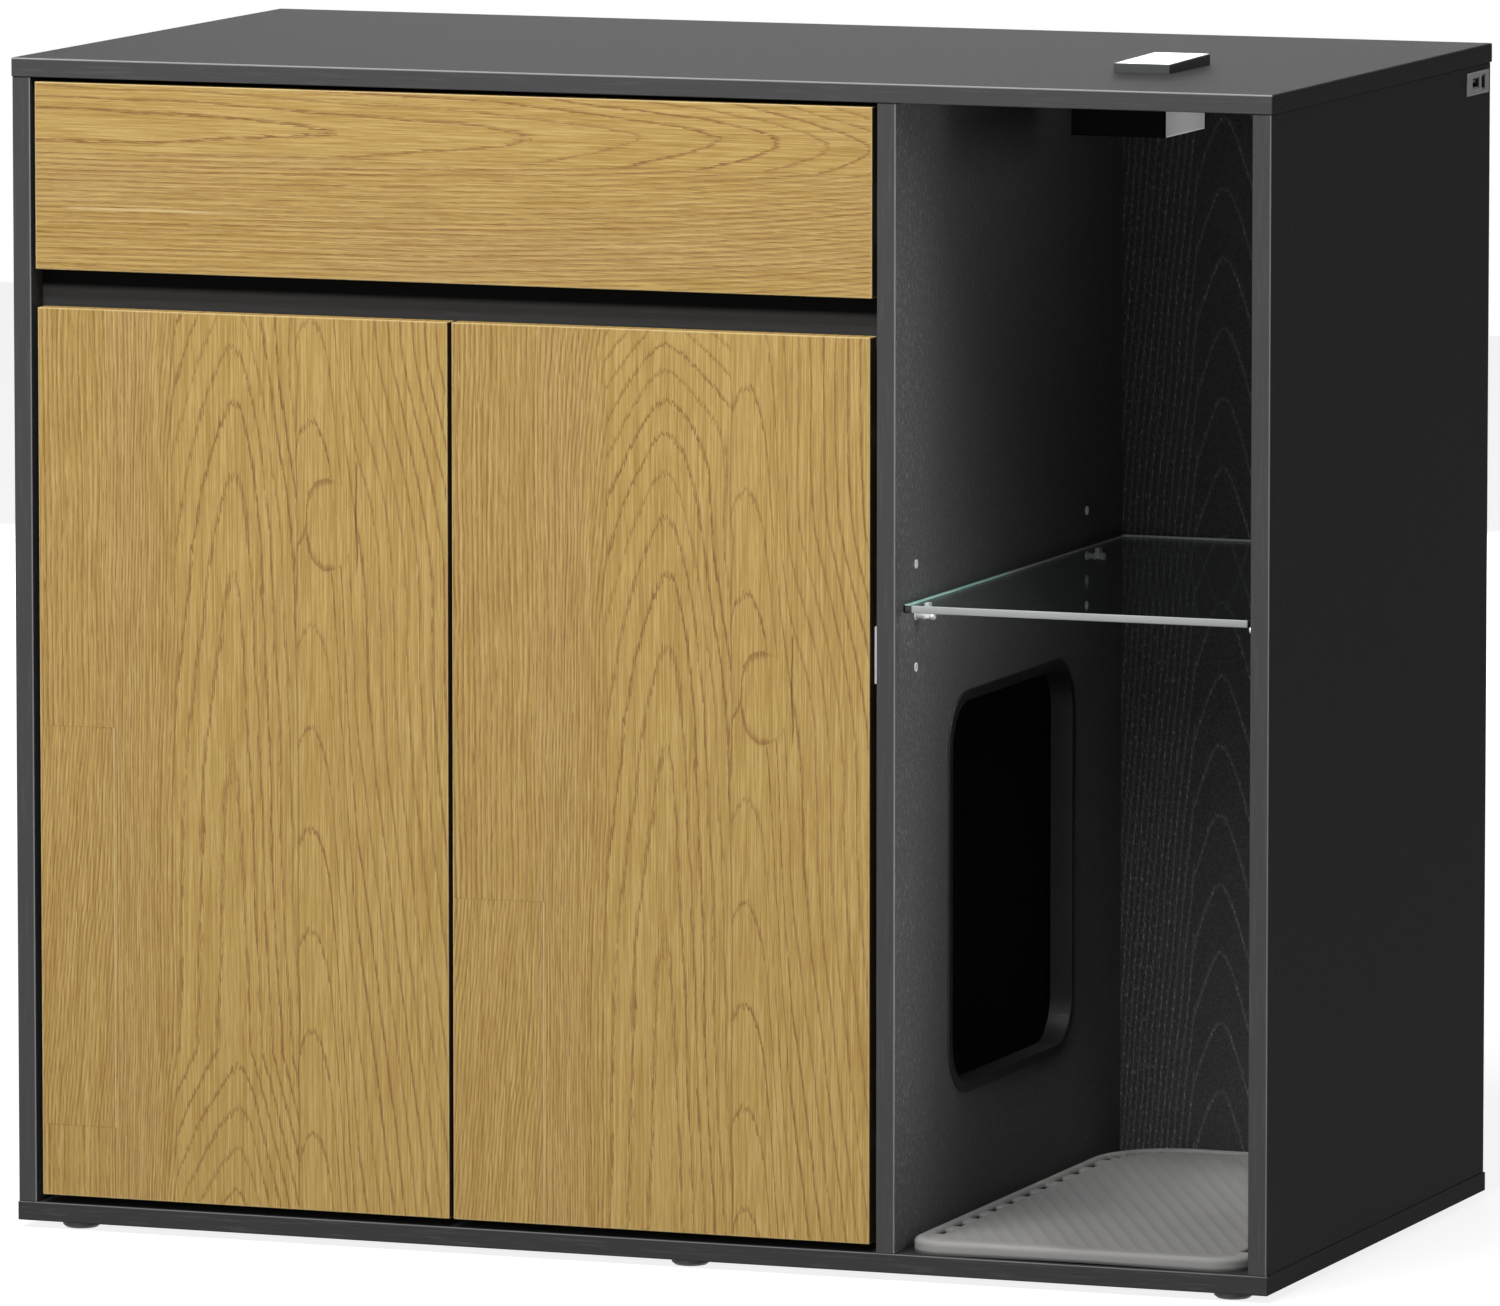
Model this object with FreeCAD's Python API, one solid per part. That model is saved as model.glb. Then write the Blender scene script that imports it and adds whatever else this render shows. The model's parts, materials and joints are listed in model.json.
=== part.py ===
import FreeCAD, Part
import math
import os

V = FreeCAD.Vector

# Cat litter box cabinet. Millimetres, +X right, +Y to the back, +Z up.
# Origin: middle of the footprint, on the floor.

# --- carcass
top_width = 1040.0
top_depth = 548.0
body_height = 920.0        # bottom panel's underside to the top surface
board = 15.0
side_overhang = 1.0        # top and bottom boards past each side panel
rear_overhang = 2.0
arris = 0.8                # rounding along the boards' edges
top_arris = 1.4
niche_width = 287.5        # divider to the right side panel
foot_height = 6.0
foot_radius = 15.0
foot_seat_radius = 12.5
foot_bevel = 2.0
foot_left_inset = 45.0
foot_right_inset = 35.0
foot_middle = 40.0
foot_front_inset = 23.0
foot_rear_inset = 45.0

# --- thin back panels in grooves
back_thickness = 5.0
back_recess = 10.0         # back panel's rear face to the side panels' rear edge
groove_depth = 5.0
groove_gap = 0.15
back_edge_gap = 0.4

# --- fronts
front_thickness = 15.0
door_side_gap = 5.5
door_middle_gap = 3.5
door_bottom_gap = 6.5
finger_gap = 30.0
drawer_front_height = 147.0
drawer_top_gap = 3.5
drawer_side_gap = 4.0
rail_recess = 22.0
rail_thickness = 15.0
rail_height = 60.0
rail_lap = 5.5             # rail's top edge above the drawer front's lower edge
deck_thickness = 15.0

# --- drawer box and runners
box_board = 12.0
box_height = 100.0
box_lift = 8.5             # box's lower edge above the deck
box_bottom_thickness = 5.0
box_bottom_lift = 10.0
box_groove = 5.0
box_dowel_low = 35.0
box_dowel_high = 80.0
runner_thickness = 12.7
runner_height = 45.0
runner_length = 450.0      # also the drawer box's length
runner_setback = 3.0       # runner's front end behind the drawer front
runner_sheet = 1.2
cabinet_flange = 9.5       # flanges' ends and webs, from the cabinet's wall
middle_web = 2.4
middle_flange = 9.5
drawer_flange = 4.6
runner_lift = 50.0         # runner's centre line above the box's lower edge
ball_radius = 1.5
ball_gap = 0.1
ball_pitch = 22.0
ball_count = 9
cage_sheet = 0.6
outer_cage_web = 1.5
outer_cage_flange = 7.6
inner_cage_web = 3.9
inner_cage_flange = 8.9
cage_margin = 6.0
cage_end_gap = 22.0        # a cage's end from the members' end

# --- concealed hinges
hinge_inset = 78.0         # hinge centre from the door's end
cup_radius = 17.5
cup_depth = 11.5
cup_edge = 5.0             # cup's rim from the door's edge
cup_wall = 1.0
cup_fit = 0.1
flange_thickness = 1.0
flange_radius = 19.5
wing_length = 56.0
wing_width = 14.0
wing_offset = 9.5
cup_screw_spacing = 45.0
pin_radius = 1.5
pin_from_edge = 11.0       # pivot pin's axis from the door's edge
pin_from_front = 9.0       # pivot pin's axis behind the door's front face
pin_run_gap = 0.05
pin_seat_gap = 0.025
ear_gap = 0.3
ear_width = 4.0
arm_half_width = 4.9
arm_thickness = 3.0
neck_half = 2.0
boss_radius = 3.0
leg_offset = 8.2           # arm's leg, sideways from the pin
run_offset = 13.0          # arm's cross run, behind the pin
arm_end = 80.0
plate_lift = 6.0
plate_sheet = 1.5
plate_line = 37.0          # screw line behind the door's back face
plate_screw_spacing = 32.0
plate_half_height = 24.0
plate_wing = 12.0
pedestal_half_length = 20.0
pedestal_half_height = 6.0
screw_radius = 1.75
screw_head_radius = 3.4
screw_head_height = 1.2
screw_length = 10.0
screw_gap = 0.05

# --- catches and the divider's edge plate
catch_offset = 60.0        # catch's centre from the line between the doors
catch_width = 22.0
catch_depth = 14.0
catch_height = 15.0
catch_gap = 0.3
strike_thickness = 1.0
strike_width = 18.0
strike_height = 8.0
edge_plate_height = 44.0
edge_plate_width = 20.0
edge_plate_thickness = 1.8
edge_plate_centre = 479.7  # above the bottom panel's underside
edge_plate_inset = 1.0

# --- glass shelf and its pins
shelf_thickness = 6.0
shelf_level = 512.4        # shelf's lower face above the bottom panel's underside
shelf_side_gap = 3.0
shelf_front_inset = 8.0
shelf_rear_gap = 3.0
shelf_chamfer = 0.6
pin_level = 506.0
pin_pitch = 40.0
pin_front_inset = 47.0
pin_rear_offset = 398.0    # rear pin column behind the front one
sleeve_radius = 3.2
sleeve_bore = 2.55
sleeve_length = 10.0
sleeve_flange_radius = 3.5
sleeve_flange = 0.6
sleeve_fit = 0.1
peg_radius = 2.5
peg_reach = 16.0           # peg's length outside the board
peg_neck_radius = 2.3
peg_bead_radius = 3.0
peg_depth = 9.0
peg_collar = 1.4           # lengths along the peg, one after another
peg_step = 0.4
peg_first_neck = 3.8
peg_bead = 1.2
peg_second_neck = 4.0
peg_tip_round = 0.8
pad_start = 8.4
pad_width = 3.6
pad_half_depth = 3.5
pad_drop = 1.2
pad_fit = 0.05

# --- cat entry in the divider
entry_width = 296.0        # over the trim's flange
entry_height = 317.0
entry_centre_y = -6.0
entry_centre = 276.5       # above the bottom panel's underside
entry_radius = 44.0
entry_flange = 8.0         # flange ring's width
entry_flange_thickness = 1.6
entry_sleeve = 3.0         # sleeve's wall
entry_fit = 0.3
entry_round = 0.7

# --- litter mat
mat_thickness = 11.0
mat_left_gap = 5.5
mat_right_gap = 6.0
mat_front_inset = 6.0
mat_rear_gap = 16.0
mat_front_radius = 30.0
mat_rear_radius = 70.0
mat_round = 4.0

# --- charging module through the top
module_width = 77.0
module_length = 97.0
module_height = 35.5
module_wall = 2.0
module_cap = 2.5
module_side_inset = 168.0  # module's centre from the right side panel's inner face
module_centre_y = -52.0
module_round = 1.5
pad_box_width = 46.0
pad_box_length = 97.0
pad_box_front = 7.0
pad_box_rear = 8.5
pad_box_side_inset = 146.0
pad_box_centre_y = -60.0
pad_box_rim = 1.5
face_thickness = 1.0
face_gap = 0.1
stem_radius = 6.0
stem_gap = 0.2

# --- port plate on the right side
port_plate_length = 54.0
port_plate_height = 18.0
port_plate_thickness = 1.0
port_rear_inset = 34.0     # plate's centre from the side panel's rear edge
port_plate_drop = 14.0     # plate's centre below the top panel's underside
port_depth = 9.0
port_fit = 0.1
usb_length = 17.0
usb_height = 9.0
usb_offset = -6.5          # along Y from the plate's centre
usb_lift = 0.4
socket_length = 9.5
socket_height = 12.0
socket_offset = 12.8
port_wall = 1.2
mouth_inset = 0.5          # sockets' mouths behind the plate's face
tongue_height = 2.0
tongue_side_gap = 1.2
tongue_recess = 1.2
prong_radius = 1.0
prong_recess = 0.6

# --- joinery
cam_inset = 70.0           # cam fittings from each panel's front and rear edge
dowel_inset = 105.0
dowel_radius = 4.0
dowel_length = 30.0
dowel_fit = 0.1
dowel_in_board = 10.0      # dowel's depth in the board whose face it enters
cam_radius = 7.5
cam_depth = 12.5
cam_offset = 34.0          # cam's centre from the panel's end
cam_fit = 0.1
bolt_radius = 3.0
bolt_bore = 3.5
bolt_in_board = 10.0
bolt_head_radius = 3.3
bolt_head_length = 4.0
cam_bore = 3.6
cam_slot_width = 1.2
cam_slot_length = 7.5
cam_slot_depth = 1.5

# --- sizes worked out from the ones above
front_y = -top_depth / 2
rear_y = top_depth / 2 - rear_overhang
side_out = top_width / 2 - side_overhang
side_in = side_out - board
divider_centre = side_in - niche_width - board / 2
floor_z = foot_height + board              # bottom panel's upper face
ceiling_z = foot_height + body_height - board
divider_left = divider_centre - board / 2
divider_right = divider_centre + board / 2
back_front_y = rear_y - back_recess - back_thickness
back_rear_y = rear_y - back_recess
fronts_back_y = front_y + front_thickness
opening_centre = (divider_left - side_in) / 2
door_bottom_z = floor_z + door_bottom_gap
drawer_front_top_z = ceiling_z - drawer_top_gap
drawer_front_bottom_z = drawer_front_top_z - drawer_front_height
door_top_z = drawer_front_bottom_z - finger_gap
rail_top_z = drawer_front_bottom_z + rail_lap
rail_front_y = front_y + rail_recess
rail_back_y = rail_front_y + rail_thickness
box_bottom_z = rail_top_z + box_lift
box_left = -side_in + runner_thickness
box_right = divider_left - runner_thickness
runner_z = box_bottom_z + runner_lift
runner_front_y = fronts_back_y + runner_setback
box_length = runner_length
cage_length = ball_pitch * (ball_count - 1) + 2 * cage_margin
hinge_levels = (door_top_z - hinge_inset, door_bottom_z + hinge_inset)
pin_x = door_side_gap + pin_from_edge      # from the side panel's inner face
cup_x = door_side_gap + cup_edge + cup_radius
sleeve_levels = [foot_height + pin_level + step * pin_pitch for step in (-1, 0, 1)]
pin_columns = (front_y + pin_front_inset, front_y + pin_front_inset + pin_rear_offset)
module_centre_x = side_in - module_side_inset
pad_box_centre_x = side_in - pad_box_side_inset


def block(x, y, z):
    """Plain box between pairs of low and high values."""
    return Part.makeBox(x[1] - x[0], y[1] - y[0], z[1] - z[0], V(x[0], y[0], z[0]))


def centred_block(centre, size):
    lows = [c - s / 2 for c, s in zip(centre, size)]
    return Part.makeBox(size[0], size[1], size[2], V(*lows))


def rounded_board(x, y, z, radius=arris):
    """Board with all its edges slightly rounded."""
    shape = block(x, y, z)
    return shape.makeFillet(radius, shape.Edges)


def rod(start, direction, radius, length):
    return Part.makeCylinder(radius, length, V(*start), V(*direction))


def rounded_outline(width, height, radius):
    """Closed outline of a rounded rectangle about the origin, in the XY plane."""
    a = width / 2
    b = height / 2
    bow = radius * (1 - math.sqrt(0.5))
    arcs = []
    for sx, sy in ((1, 1), (-1, 1), (-1, -1), (1, -1)):
        side = V(sx * a, sy * (b - radius), 0)
        middle = V(sx * (a - bow), sy * (b - bow), 0)
        end = V(sx * (a - radius), sy * b, 0)
        arcs.append((side, middle, end) if sx * sy > 0 else (end, middle, side))
    edges = []
    for index, (first, middle, last) in enumerate(arcs):
        following = arcs[(index + 1) % len(arcs)][0]
        edges.append(Part.Arc(first, middle, last).toShape())
        edges.append(Part.LineSegment(last, following).toShape())
    return Part.Wire(edges)


def rounded_prism(width, height, radius, thickness):
    face = Part.Face(rounded_outline(width, height, radius))
    return face.extrude(V(0, 0, thickness))


def onto_side(shape, x, y, z):
    """Turns a prism drawn in XY and rising along Z so that it rises along +X: X becomes Y, Y becomes Z."""
    turned = shape.copy()
    turned.rotate(V(0, 0, 0), V(1, 1, 1), 120)
    turned.translate(V(x, y, z))
    return turned


def mirrored(shape):
    """Copy of a left-hand shape for the right-hand side of the door opening."""
    return shape.mirror(V(opening_centre, 0, 0), V(1, 0, 0))


def group(shapes):
    return Part.makeCompound(shapes)


# --- joinery places

def panel_ends():
    """Every upright panel's two ends: (panel's middle, face with the cams, way in, height, way out)."""
    uprights = (
        (-side_in - board / 2, -side_in, -1),
        (divider_centre, divider_left, 1),
        (side_in + board / 2, side_in, 1),
    )
    ends = []
    for middle, cam_face, into in uprights:
        for end_z, way in ((floor_z, -1), (ceiling_z, 1)):
            ends.append((middle, cam_face, into, end_z, way))
    return ends


def fitting_rows(inset):
    return (front_y + inset, rear_y - inset)


def dowels_upright(radius, length_in_board, length_in_panel):
    shapes = []
    for middle, _, _, end_z, way in panel_ends():
        for y in fitting_rows(dowel_inset):
            start = end_z + way * length_in_board
            total = length_in_board + length_in_panel
            shapes.append(rod((middle, y, start), (0, 0, -way), radius, total))
    return shapes


def rail_ends():
    """Where the finger rail and the deck meet the side panel and the divider: (face, way out, y, z)."""
    deck_middle = rail_top_z - deck_thickness / 2
    rows = [(rail_front_y + rail_thickness / 2, rail_top_z - rail_height / 2)]
    rows.append((rail_back_y + dowel_inset, deck_middle))
    rows.append((back_front_y - dowel_inset, deck_middle))
    ends = []
    for face, way in ((-side_in, -1), (divider_left, 1)):
        for y, z in rows:
            ends.append((face, way, y, z))
    return ends


def dowels_level(radius, length_in_board, length_in_panel):
    shapes = []
    for face, way, y, z in rail_ends():
        total = length_in_board + length_in_panel
        shapes.append(rod((face + way * length_in_board, y, z), (-way, 0, 0), radius, total))
    return shapes


def dowel_bores():
    in_panel = dowel_length - dowel_in_board
    radius = dowel_radius + dowel_fit
    bores = dowels_upright(radius, dowel_in_board + dowel_fit, in_panel + dowel_fit)
    return bores + dowels_level(radius, dowel_in_board + dowel_fit, in_panel + dowel_fit)


def cam_places():
    places = []
    for middle, cam_face, into, end_z, way in panel_ends():
        for y in fitting_rows(cam_inset):
            places.append((middle, cam_face, into, end_z, way, y))
    return places


def cam_bores():
    """Holes for the cam discs and the bolts that they pull."""
    shapes = []
    for middle, cam_face, into, end_z, way, y in cam_places():
        cam_z = end_z - way * cam_offset
        shapes.append(rod((cam_face, y, cam_z), (into, 0, 0), cam_radius + cam_fit, cam_depth + cam_fit))
        start = end_z + way * (bolt_in_board + dowel_fit)
        shapes.append(rod((middle, y, start), (0, 0, -way), bolt_bore, bolt_in_board + cam_offset))
    return shapes


def cam_locks():
    shapes = []
    for middle, cam_face, into, end_z, way, y in cam_places():
        cam_z = end_z - way * cam_offset
        disc = rod((cam_face, y, cam_z), (into, 0, 0), cam_radius, cam_depth)
        bore = rod((middle, y, end_z), (0, 0, -way), cam_bore, cam_offset + bolt_head_length)
        disc = disc.cut(bore)
        depth = cam_slot_depth
        slot_x = cam_face + into * depth / 2
        for size in ((depth, cam_slot_width, cam_slot_length), (depth, cam_slot_length, cam_slot_width)):
            disc = disc.cut(centred_block((slot_x, y, cam_z), size))
        shapes.append(disc)
    return group(shapes)


def cam_bolts():
    shapes = []
    for middle, _, _, end_z, way, y in cam_places():
        start = end_z + way * bolt_in_board
        length = bolt_in_board + cam_offset - bolt_head_length
        shank = rod((middle, y, start), (0, 0, -way), bolt_radius, length)
        head_start = end_z - way * (cam_offset - bolt_head_length)
        head = rod((middle, y, head_start), (0, 0, -way), bolt_head_radius, bolt_head_length)
        shapes.append(shank.fuse(head))
    return group(shapes)


def dowels():
    in_panel = dowel_length - dowel_in_board
    return group(dowels_upright(dowel_radius, dowel_in_board, in_panel)
                 + dowels_level(dowel_radius, dowel_in_board, in_panel))


# --- carcass boards

def drilled(shape):
    """Board with the holes of every fitting that reaches it."""
    box = shape.BoundBox
    tools = [tool for tool in dowel_bores() + cam_bores() if box.intersect(tool.BoundBox)]
    return shape.cut(tools) if tools else shape


def back_groove(x, z):
    """Room for a back panel, a little past the panel on every side."""
    y = (back_front_y - groove_gap, back_rear_y + groove_gap)
    return block((x[0] - groove_depth, x[1] + groove_depth), y, (z[0] - groove_depth, z[1] + groove_depth))


def both_grooves():
    z = (floor_z, ceiling_z)
    left = back_groove((-side_in, divider_left), z)
    right = back_groove((divider_right, side_in), z)
    return [left, right]


def stem_bore(radius):
    return rod((pad_box_centre_x, pad_box_centre_y, ceiling_z), (0, 0, 1), radius, board)


def top_panel():
    x = (-top_width / 2, top_width / 2)
    shape = block(x, (front_y, -front_y), (ceiling_z, ceiling_z + board))
    upper = [e for e in shape.Edges if e.BoundBox.ZMin > ceiling_z + board / 2]
    rest = [e for e in shape.Edges if e.BoundBox.ZMin <= ceiling_z + board / 2]
    shape = shape.makeFillet(top_arris, upper + [e for e in rest if e.BoundBox.ZMax > ceiling_z + board / 2])
    lower = [e for e in shape.Edges if e.BoundBox.ZMax < ceiling_z + arris and e.Length > board]
    shape = shape.makeFillet(arris, lower)
    shape = shape.cut(both_grooves())
    return drilled(shape).cut(stem_bore(stem_radius + stem_gap))


def bottom_panel():
    x = (-top_width / 2, top_width / 2)
    shape = rounded_board(x, (front_y, -front_y), (foot_height, floor_z))
    return drilled(shape.cut(both_grooves()))


def left_side_panel():
    shape = rounded_board((-side_out, -side_in), (front_y, rear_y), (floor_z, ceiling_z))
    shape = drilled(shape.cut(both_grooves()))
    return shape.cut(plate_screw_bores())


def sleeve_bores(face, into):
    shapes = []
    for y in pin_columns:
        for z in sleeve_levels:
            start = (face, y, z)
            shapes.append(rod(start, (into, 0, 0), sleeve_radius + sleeve_fit, sleeve_length + sleeve_fit))
    return shapes


def port_centre():
    return (side_out, rear_y - port_rear_inset, ceiling_z - port_plate_drop)


def port_pocket(offset, lift, length, height, fit):
    x, y, z = port_centre()
    size = (port_depth + fit, length + 2 * fit, height + 2 * fit)
    return centred_block((x - (port_depth + fit) / 2, y + offset, z + lift), size)


def right_side_panel():
    shape = rounded_board((side_in, side_out), (front_y, rear_y), (floor_z, ceiling_z))
    shape = drilled(shape.cut(both_grooves()))
    shape = shape.cut(sleeve_bores(side_in, 1))
    usb = port_pocket(usb_offset, usb_lift, usb_length, usb_height, port_fit)
    socket = port_pocket(socket_offset, 0, socket_length, socket_height, port_fit)
    return shape.cut([usb, socket])


def entry_prism(width, height, radius, x, thickness):
    shape = rounded_prism(width, height, radius, thickness)
    return onto_side(shape, x, entry_centre_y, foot_height + entry_centre)


def entry_hole_size():
    """Width, height and corner radius of the cut-out in the divider."""
    lap = entry_flange - entry_sleeve
    return entry_width - 2 * lap, entry_height - 2 * lap, entry_radius - lap


def divider_panel():
    shape = rounded_board((divider_left, divider_right), (front_y, rear_y), (floor_z, ceiling_z))
    shape = drilled(shape.cut(both_grooves()))
    width, height, radius = entry_hole_size()
    shape = shape.cut(entry_prism(width, height, radius, divider_left, board))
    shape = shape.cut(sleeve_bores(divider_right, -1))
    return shape.cut([mirrored(bore) for bore in plate_screw_bores()])


def back_panel(x):
    reach = groove_depth - back_edge_gap
    z = (floor_z - groove_depth, ceiling_z + reach)
    return block((x[0] - reach, x[1] + reach), (back_front_y, back_rear_y), z)


def finger_rail():
    z = (rail_top_z - rail_height, rail_top_z)
    return drilled(rounded_board((-side_in, divider_left), (rail_front_y, rail_back_y), z))


def drawer_deck():
    z = (rail_top_z - deck_thickness, rail_top_z)
    return drilled(rounded_board((-side_in, divider_left), (rail_back_y, back_front_y), z))


def glide_feet():
    """Flat glides, bevelled towards the floor."""
    shapes = []
    centres_x = (-top_width / 2 + foot_left_inset, foot_middle, top_width / 2 - foot_right_inset)
    centres_y = (front_y + foot_front_inset, rear_y - foot_rear_inset)
    for x in centres_x:
        for y in centres_y:
            lower = Part.makeCone(foot_seat_radius, foot_radius, foot_bevel, V(x, y, 0))
            upper = rod((x, y, foot_bevel), (0, 0, 1), foot_radius, foot_height - foot_bevel)
            shapes.append(lower.fuse(upper))
    return group(shapes)


# --- doors and hinges, drawn for the left side at height zero

def local(x, y, z):
    """Pair ranges measured from the side panel's inner face and the front plane."""
    return block((x[0] - side_in, x[1] - side_in), (y[0] + front_y, y[1] + front_y), z)


def door():
    x = (-side_in + door_side_gap, opening_centre - door_middle_gap / 2)
    shape = rounded_board(x, (front_y, fronts_back_y), (door_bottom_z, door_top_z))
    for level in hinge_levels:
        start = (cup_x - side_in, fronts_back_y - cup_depth - cup_fit, level)
        shape = shape.cut(rod(start, (0, 1, 0), cup_radius + cup_fit, cup_depth + 2 * cup_fit))
    return shape.cut(cup_screw_shanks(screw_radius + screw_gap))


def hinge_cup():
    floor_y = fronts_back_y - cup_depth
    x = cup_x - side_in
    shell = rod((x, floor_y, 0), (0, 1, 0), cup_radius, cup_depth)
    disc = rod((x, fronts_back_y, 0), (0, 1, 0), flange_radius, flange_thickness)
    wing_x = cup_x + wing_offset
    wing = local((wing_x - wing_width / 2, wing_x + wing_width / 2),
                 (front_thickness, front_thickness + flange_thickness),
                 (-wing_length / 2, wing_length / 2))
    well = rod((x, floor_y + cup_wall, 0), (0, 1, 0), cup_radius - cup_wall, cup_depth + flange_thickness)
    shape = shell.fuse([disc, wing]).cut(well)
    low = arm_half_width + ear_gap
    ear_reach = boss_radius
    bottom = front_thickness - cup_depth + cup_wall
    for z in ((low, low + ear_width), (-low - ear_width, -low)):
        ear = local((pin_x - ear_reach, pin_x + ear_reach), (bottom, pin_from_front + ear_reach), z)
        shape = shape.fuse(ear)
    hole = rod((pin_x - side_in, front_y + pin_from_front, -cup_radius), (0, 0, 1),
               pin_radius + pin_run_gap, 2 * cup_radius)
    within = rod((x, floor_y, 0), (0, 1, 0), cup_radius - cup_wall, cup_depth)
    shape = shape.cut(hole.common(within))
    screws = [rod((x, y - flange_thickness, z), (0, 1, 0), screw_radius + screw_gap, 2 * flange_thickness)
              for x, y, z in cup_screw_points()]
    return shape.cut(screws).removeSplitter()


def cup_screw_points():
    """Middle of each cup screw's head seat, for one hinge at height zero."""
    x = cup_x + wing_offset - side_in
    y = fronts_back_y + flange_thickness
    return [(x, y, z) for z in (-cup_screw_spacing / 2, cup_screw_spacing / 2)]


def cup_screw_shanks(radius):
    shapes = []
    for level in hinge_levels:
        for x, y, z in cup_screw_points():
            shapes.append(rod((x, y, z + level), (0, -1, 0), radius, screw_length))
    return shapes


def screw_head(seat, way):
    return Part.makeCone(screw_head_radius, screw_radius, screw_head_height, V(*seat), V(*way))


def door_screws():
    shapes = []
    for level in hinge_levels:
        for x, y, z in cup_screw_points():
            head = screw_head((x, y, z + level), (0, 1, 0))
            shank = rod((x, y, z + level), (0, -1, 0), screw_radius, screw_length)
            shapes.append(head.fuse(shank))
    return group(shapes)


def hinge_pin():
    half = arm_half_width + ear_gap + ear_width
    centre = (pin_x - side_in, front_y + pin_from_front, -half)
    return rod(centre, (0, 0, 1), pin_radius, 2 * half)


def hinge_arm():
    """Hooked arm: boss round the pin, neck, leg, cross run, then the bar on the mounting plate."""
    z = (-arm_half_width, arm_half_width)
    run_y = pin_from_front + run_offset
    leg_x = pin_x + leg_offset
    boss = rod((pin_x - side_in, front_y + pin_from_front, z[0]), (0, 0, 1), boss_radius, 2 * arm_half_width)
    neck = local((pin_x, leg_x + arm_thickness), (pin_from_front - neck_half, pin_from_front + neck_half), z)
    leg = local((leg_x, leg_x + arm_thickness), (pin_from_front - neck_half, run_y + arm_thickness), z)
    run = local((plate_lift, leg_x + arm_thickness), (run_y, run_y + arm_thickness), z)
    bar = local((plate_lift, plate_lift + arm_thickness), (run_y, arm_end), z)
    shape = boss.fuse([neck, leg, run, bar])
    hole = rod((pin_x - side_in, front_y + pin_from_front, z[0]), (0, 0, 1),
               pin_radius + pin_seat_gap, 2 * arm_half_width)
    shape = shape.cut(hole)
    shape = shape.cut(arm_screw_shank(screw_radius + screw_gap))
    return shape.removeSplitter()


def plate_y():
    return front_thickness + plate_line


def arm_screw_shank(radius):
    start = (plate_lift + arm_thickness - side_in, front_y + plate_y(), 0)
    return rod(start, (-1, 0, 0), radius, arm_thickness + plate_lift - plate_sheet)


def hinge_plate():
    middle = plate_y()
    wing = local((0, plate_sheet), (middle - plate_wing / 2, middle + plate_wing / 2),
                 (-plate_half_height, plate_half_height))
    pedestal = local((0, plate_lift), (middle - pedestal_half_length, middle + pedestal_half_length),
                     (-pedestal_half_height, pedestal_half_height))
    shape = wing.fuse(pedestal)
    for start in plate_screw_points():
        shape = shape.cut(rod(start, (-1, 0, 0), screw_radius + screw_gap, plate_sheet))
    return shape.cut(arm_screw_shank(screw_radius + screw_gap)).removeSplitter()


def plate_screw_points():
    return [(plate_sheet - side_in, front_y + plate_y(), z)
            for z in (-plate_screw_spacing / 2, plate_screw_spacing / 2)]


def plate_screw_bores():
    """Pilot holes in the side panel for both hinges' mounting plates."""
    shapes = []
    for level in hinge_levels:
        for x, y, z in plate_screw_points():
            start = (x, y, z + level)
            shapes.append(rod(start, (-1, 0, 0), screw_radius + screw_gap, screw_length + screw_gap))
    return shapes


def plate_screws():
    """For one hinge: two screws into the side panel and one through the arm."""
    shapes = []
    for x, y, z in plate_screw_points():
        shank = rod((x, y, z), (-1, 0, 0), screw_radius, screw_length)
        shapes.append(screw_head((x, y, z), (1, 0, 0)).fuse(shank))
    x = plate_lift + arm_thickness - side_in
    y = front_y + plate_y()
    head = rod((x, y, 0), (1, 0, 0), screw_head_radius, screw_head_height)
    shapes.append(head.fuse(arm_screw_shank(screw_radius)))
    return group(shapes)


def at_level(shape, level):
    moved = shape.copy()
    moved.translate(V(0, 0, level))
    return moved


def at_every_hinge(shape):
    shapes = []
    for level in hinge_levels:
        shapes.append(at_level(shape, level))
        shapes.append(at_level(mirrored(shape), level))
    return group([solid for shape in shapes for solid in shape.Solids])


def strike_plate():
    """Steel plate on the left door's back, in front of its catch."""
    x = opening_centre - catch_offset
    z = (door_bottom_z + arris, door_bottom_z + arris + strike_height)
    y = (fronts_back_y, fronts_back_y + strike_thickness)
    return block((x - strike_width / 2, x + strike_width / 2), y, z)


def door_catches():
    start = fronts_back_y + strike_thickness + catch_gap
    x = opening_centre - catch_offset
    body = block((x - catch_width / 2, x + catch_width / 2), (start, start + catch_depth),
                 (floor_z, floor_z + catch_height))
    front_edges = [e for e in body.Edges if e.BoundBox.ZMin > floor_z + arris]
    body = body.makeFillet(arris, front_edges)
    return group([body, mirrored(body)])


def divider_edge_plate():
    z = foot_height + edge_plate_centre
    y = front_y + edge_plate_inset
    return block((divider_left - edge_plate_thickness, divider_left), (y, y + edge_plate_width),
                 (z - edge_plate_height / 2, z + edge_plate_height / 2))


# --- drawer

def drawer_front():
    x = (-side_in + drawer_side_gap, divider_left - drawer_side_gap)
    shape = rounded_board(x, (front_y, fronts_back_y), (drawer_front_bottom_z, drawer_front_top_z))
    return shape.cut(drawer_bottom_room()).cut(drawer_dowel_bores())


def box_side_ranges():
    return ((box_left, box_left + box_board), (box_right - box_board, box_right))


def drawer_side(x):
    z = (box_bottom_z, box_bottom_z + box_height)
    shape = block(x, (fronts_back_y, fronts_back_y + box_length), z)
    shape = shape.cut(drawer_bottom_room())
    return shape.cut(drawer_dowel_bores())


def drawer_back():
    x = (box_left + box_board, box_right - box_board)
    y = (fronts_back_y + box_length - box_board, fronts_back_y + box_length)
    shape = block(x, y, (box_bottom_z, box_bottom_z + box_height))
    return shape.cut(drawer_bottom_room()).cut(drawer_dowel_bores())


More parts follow.
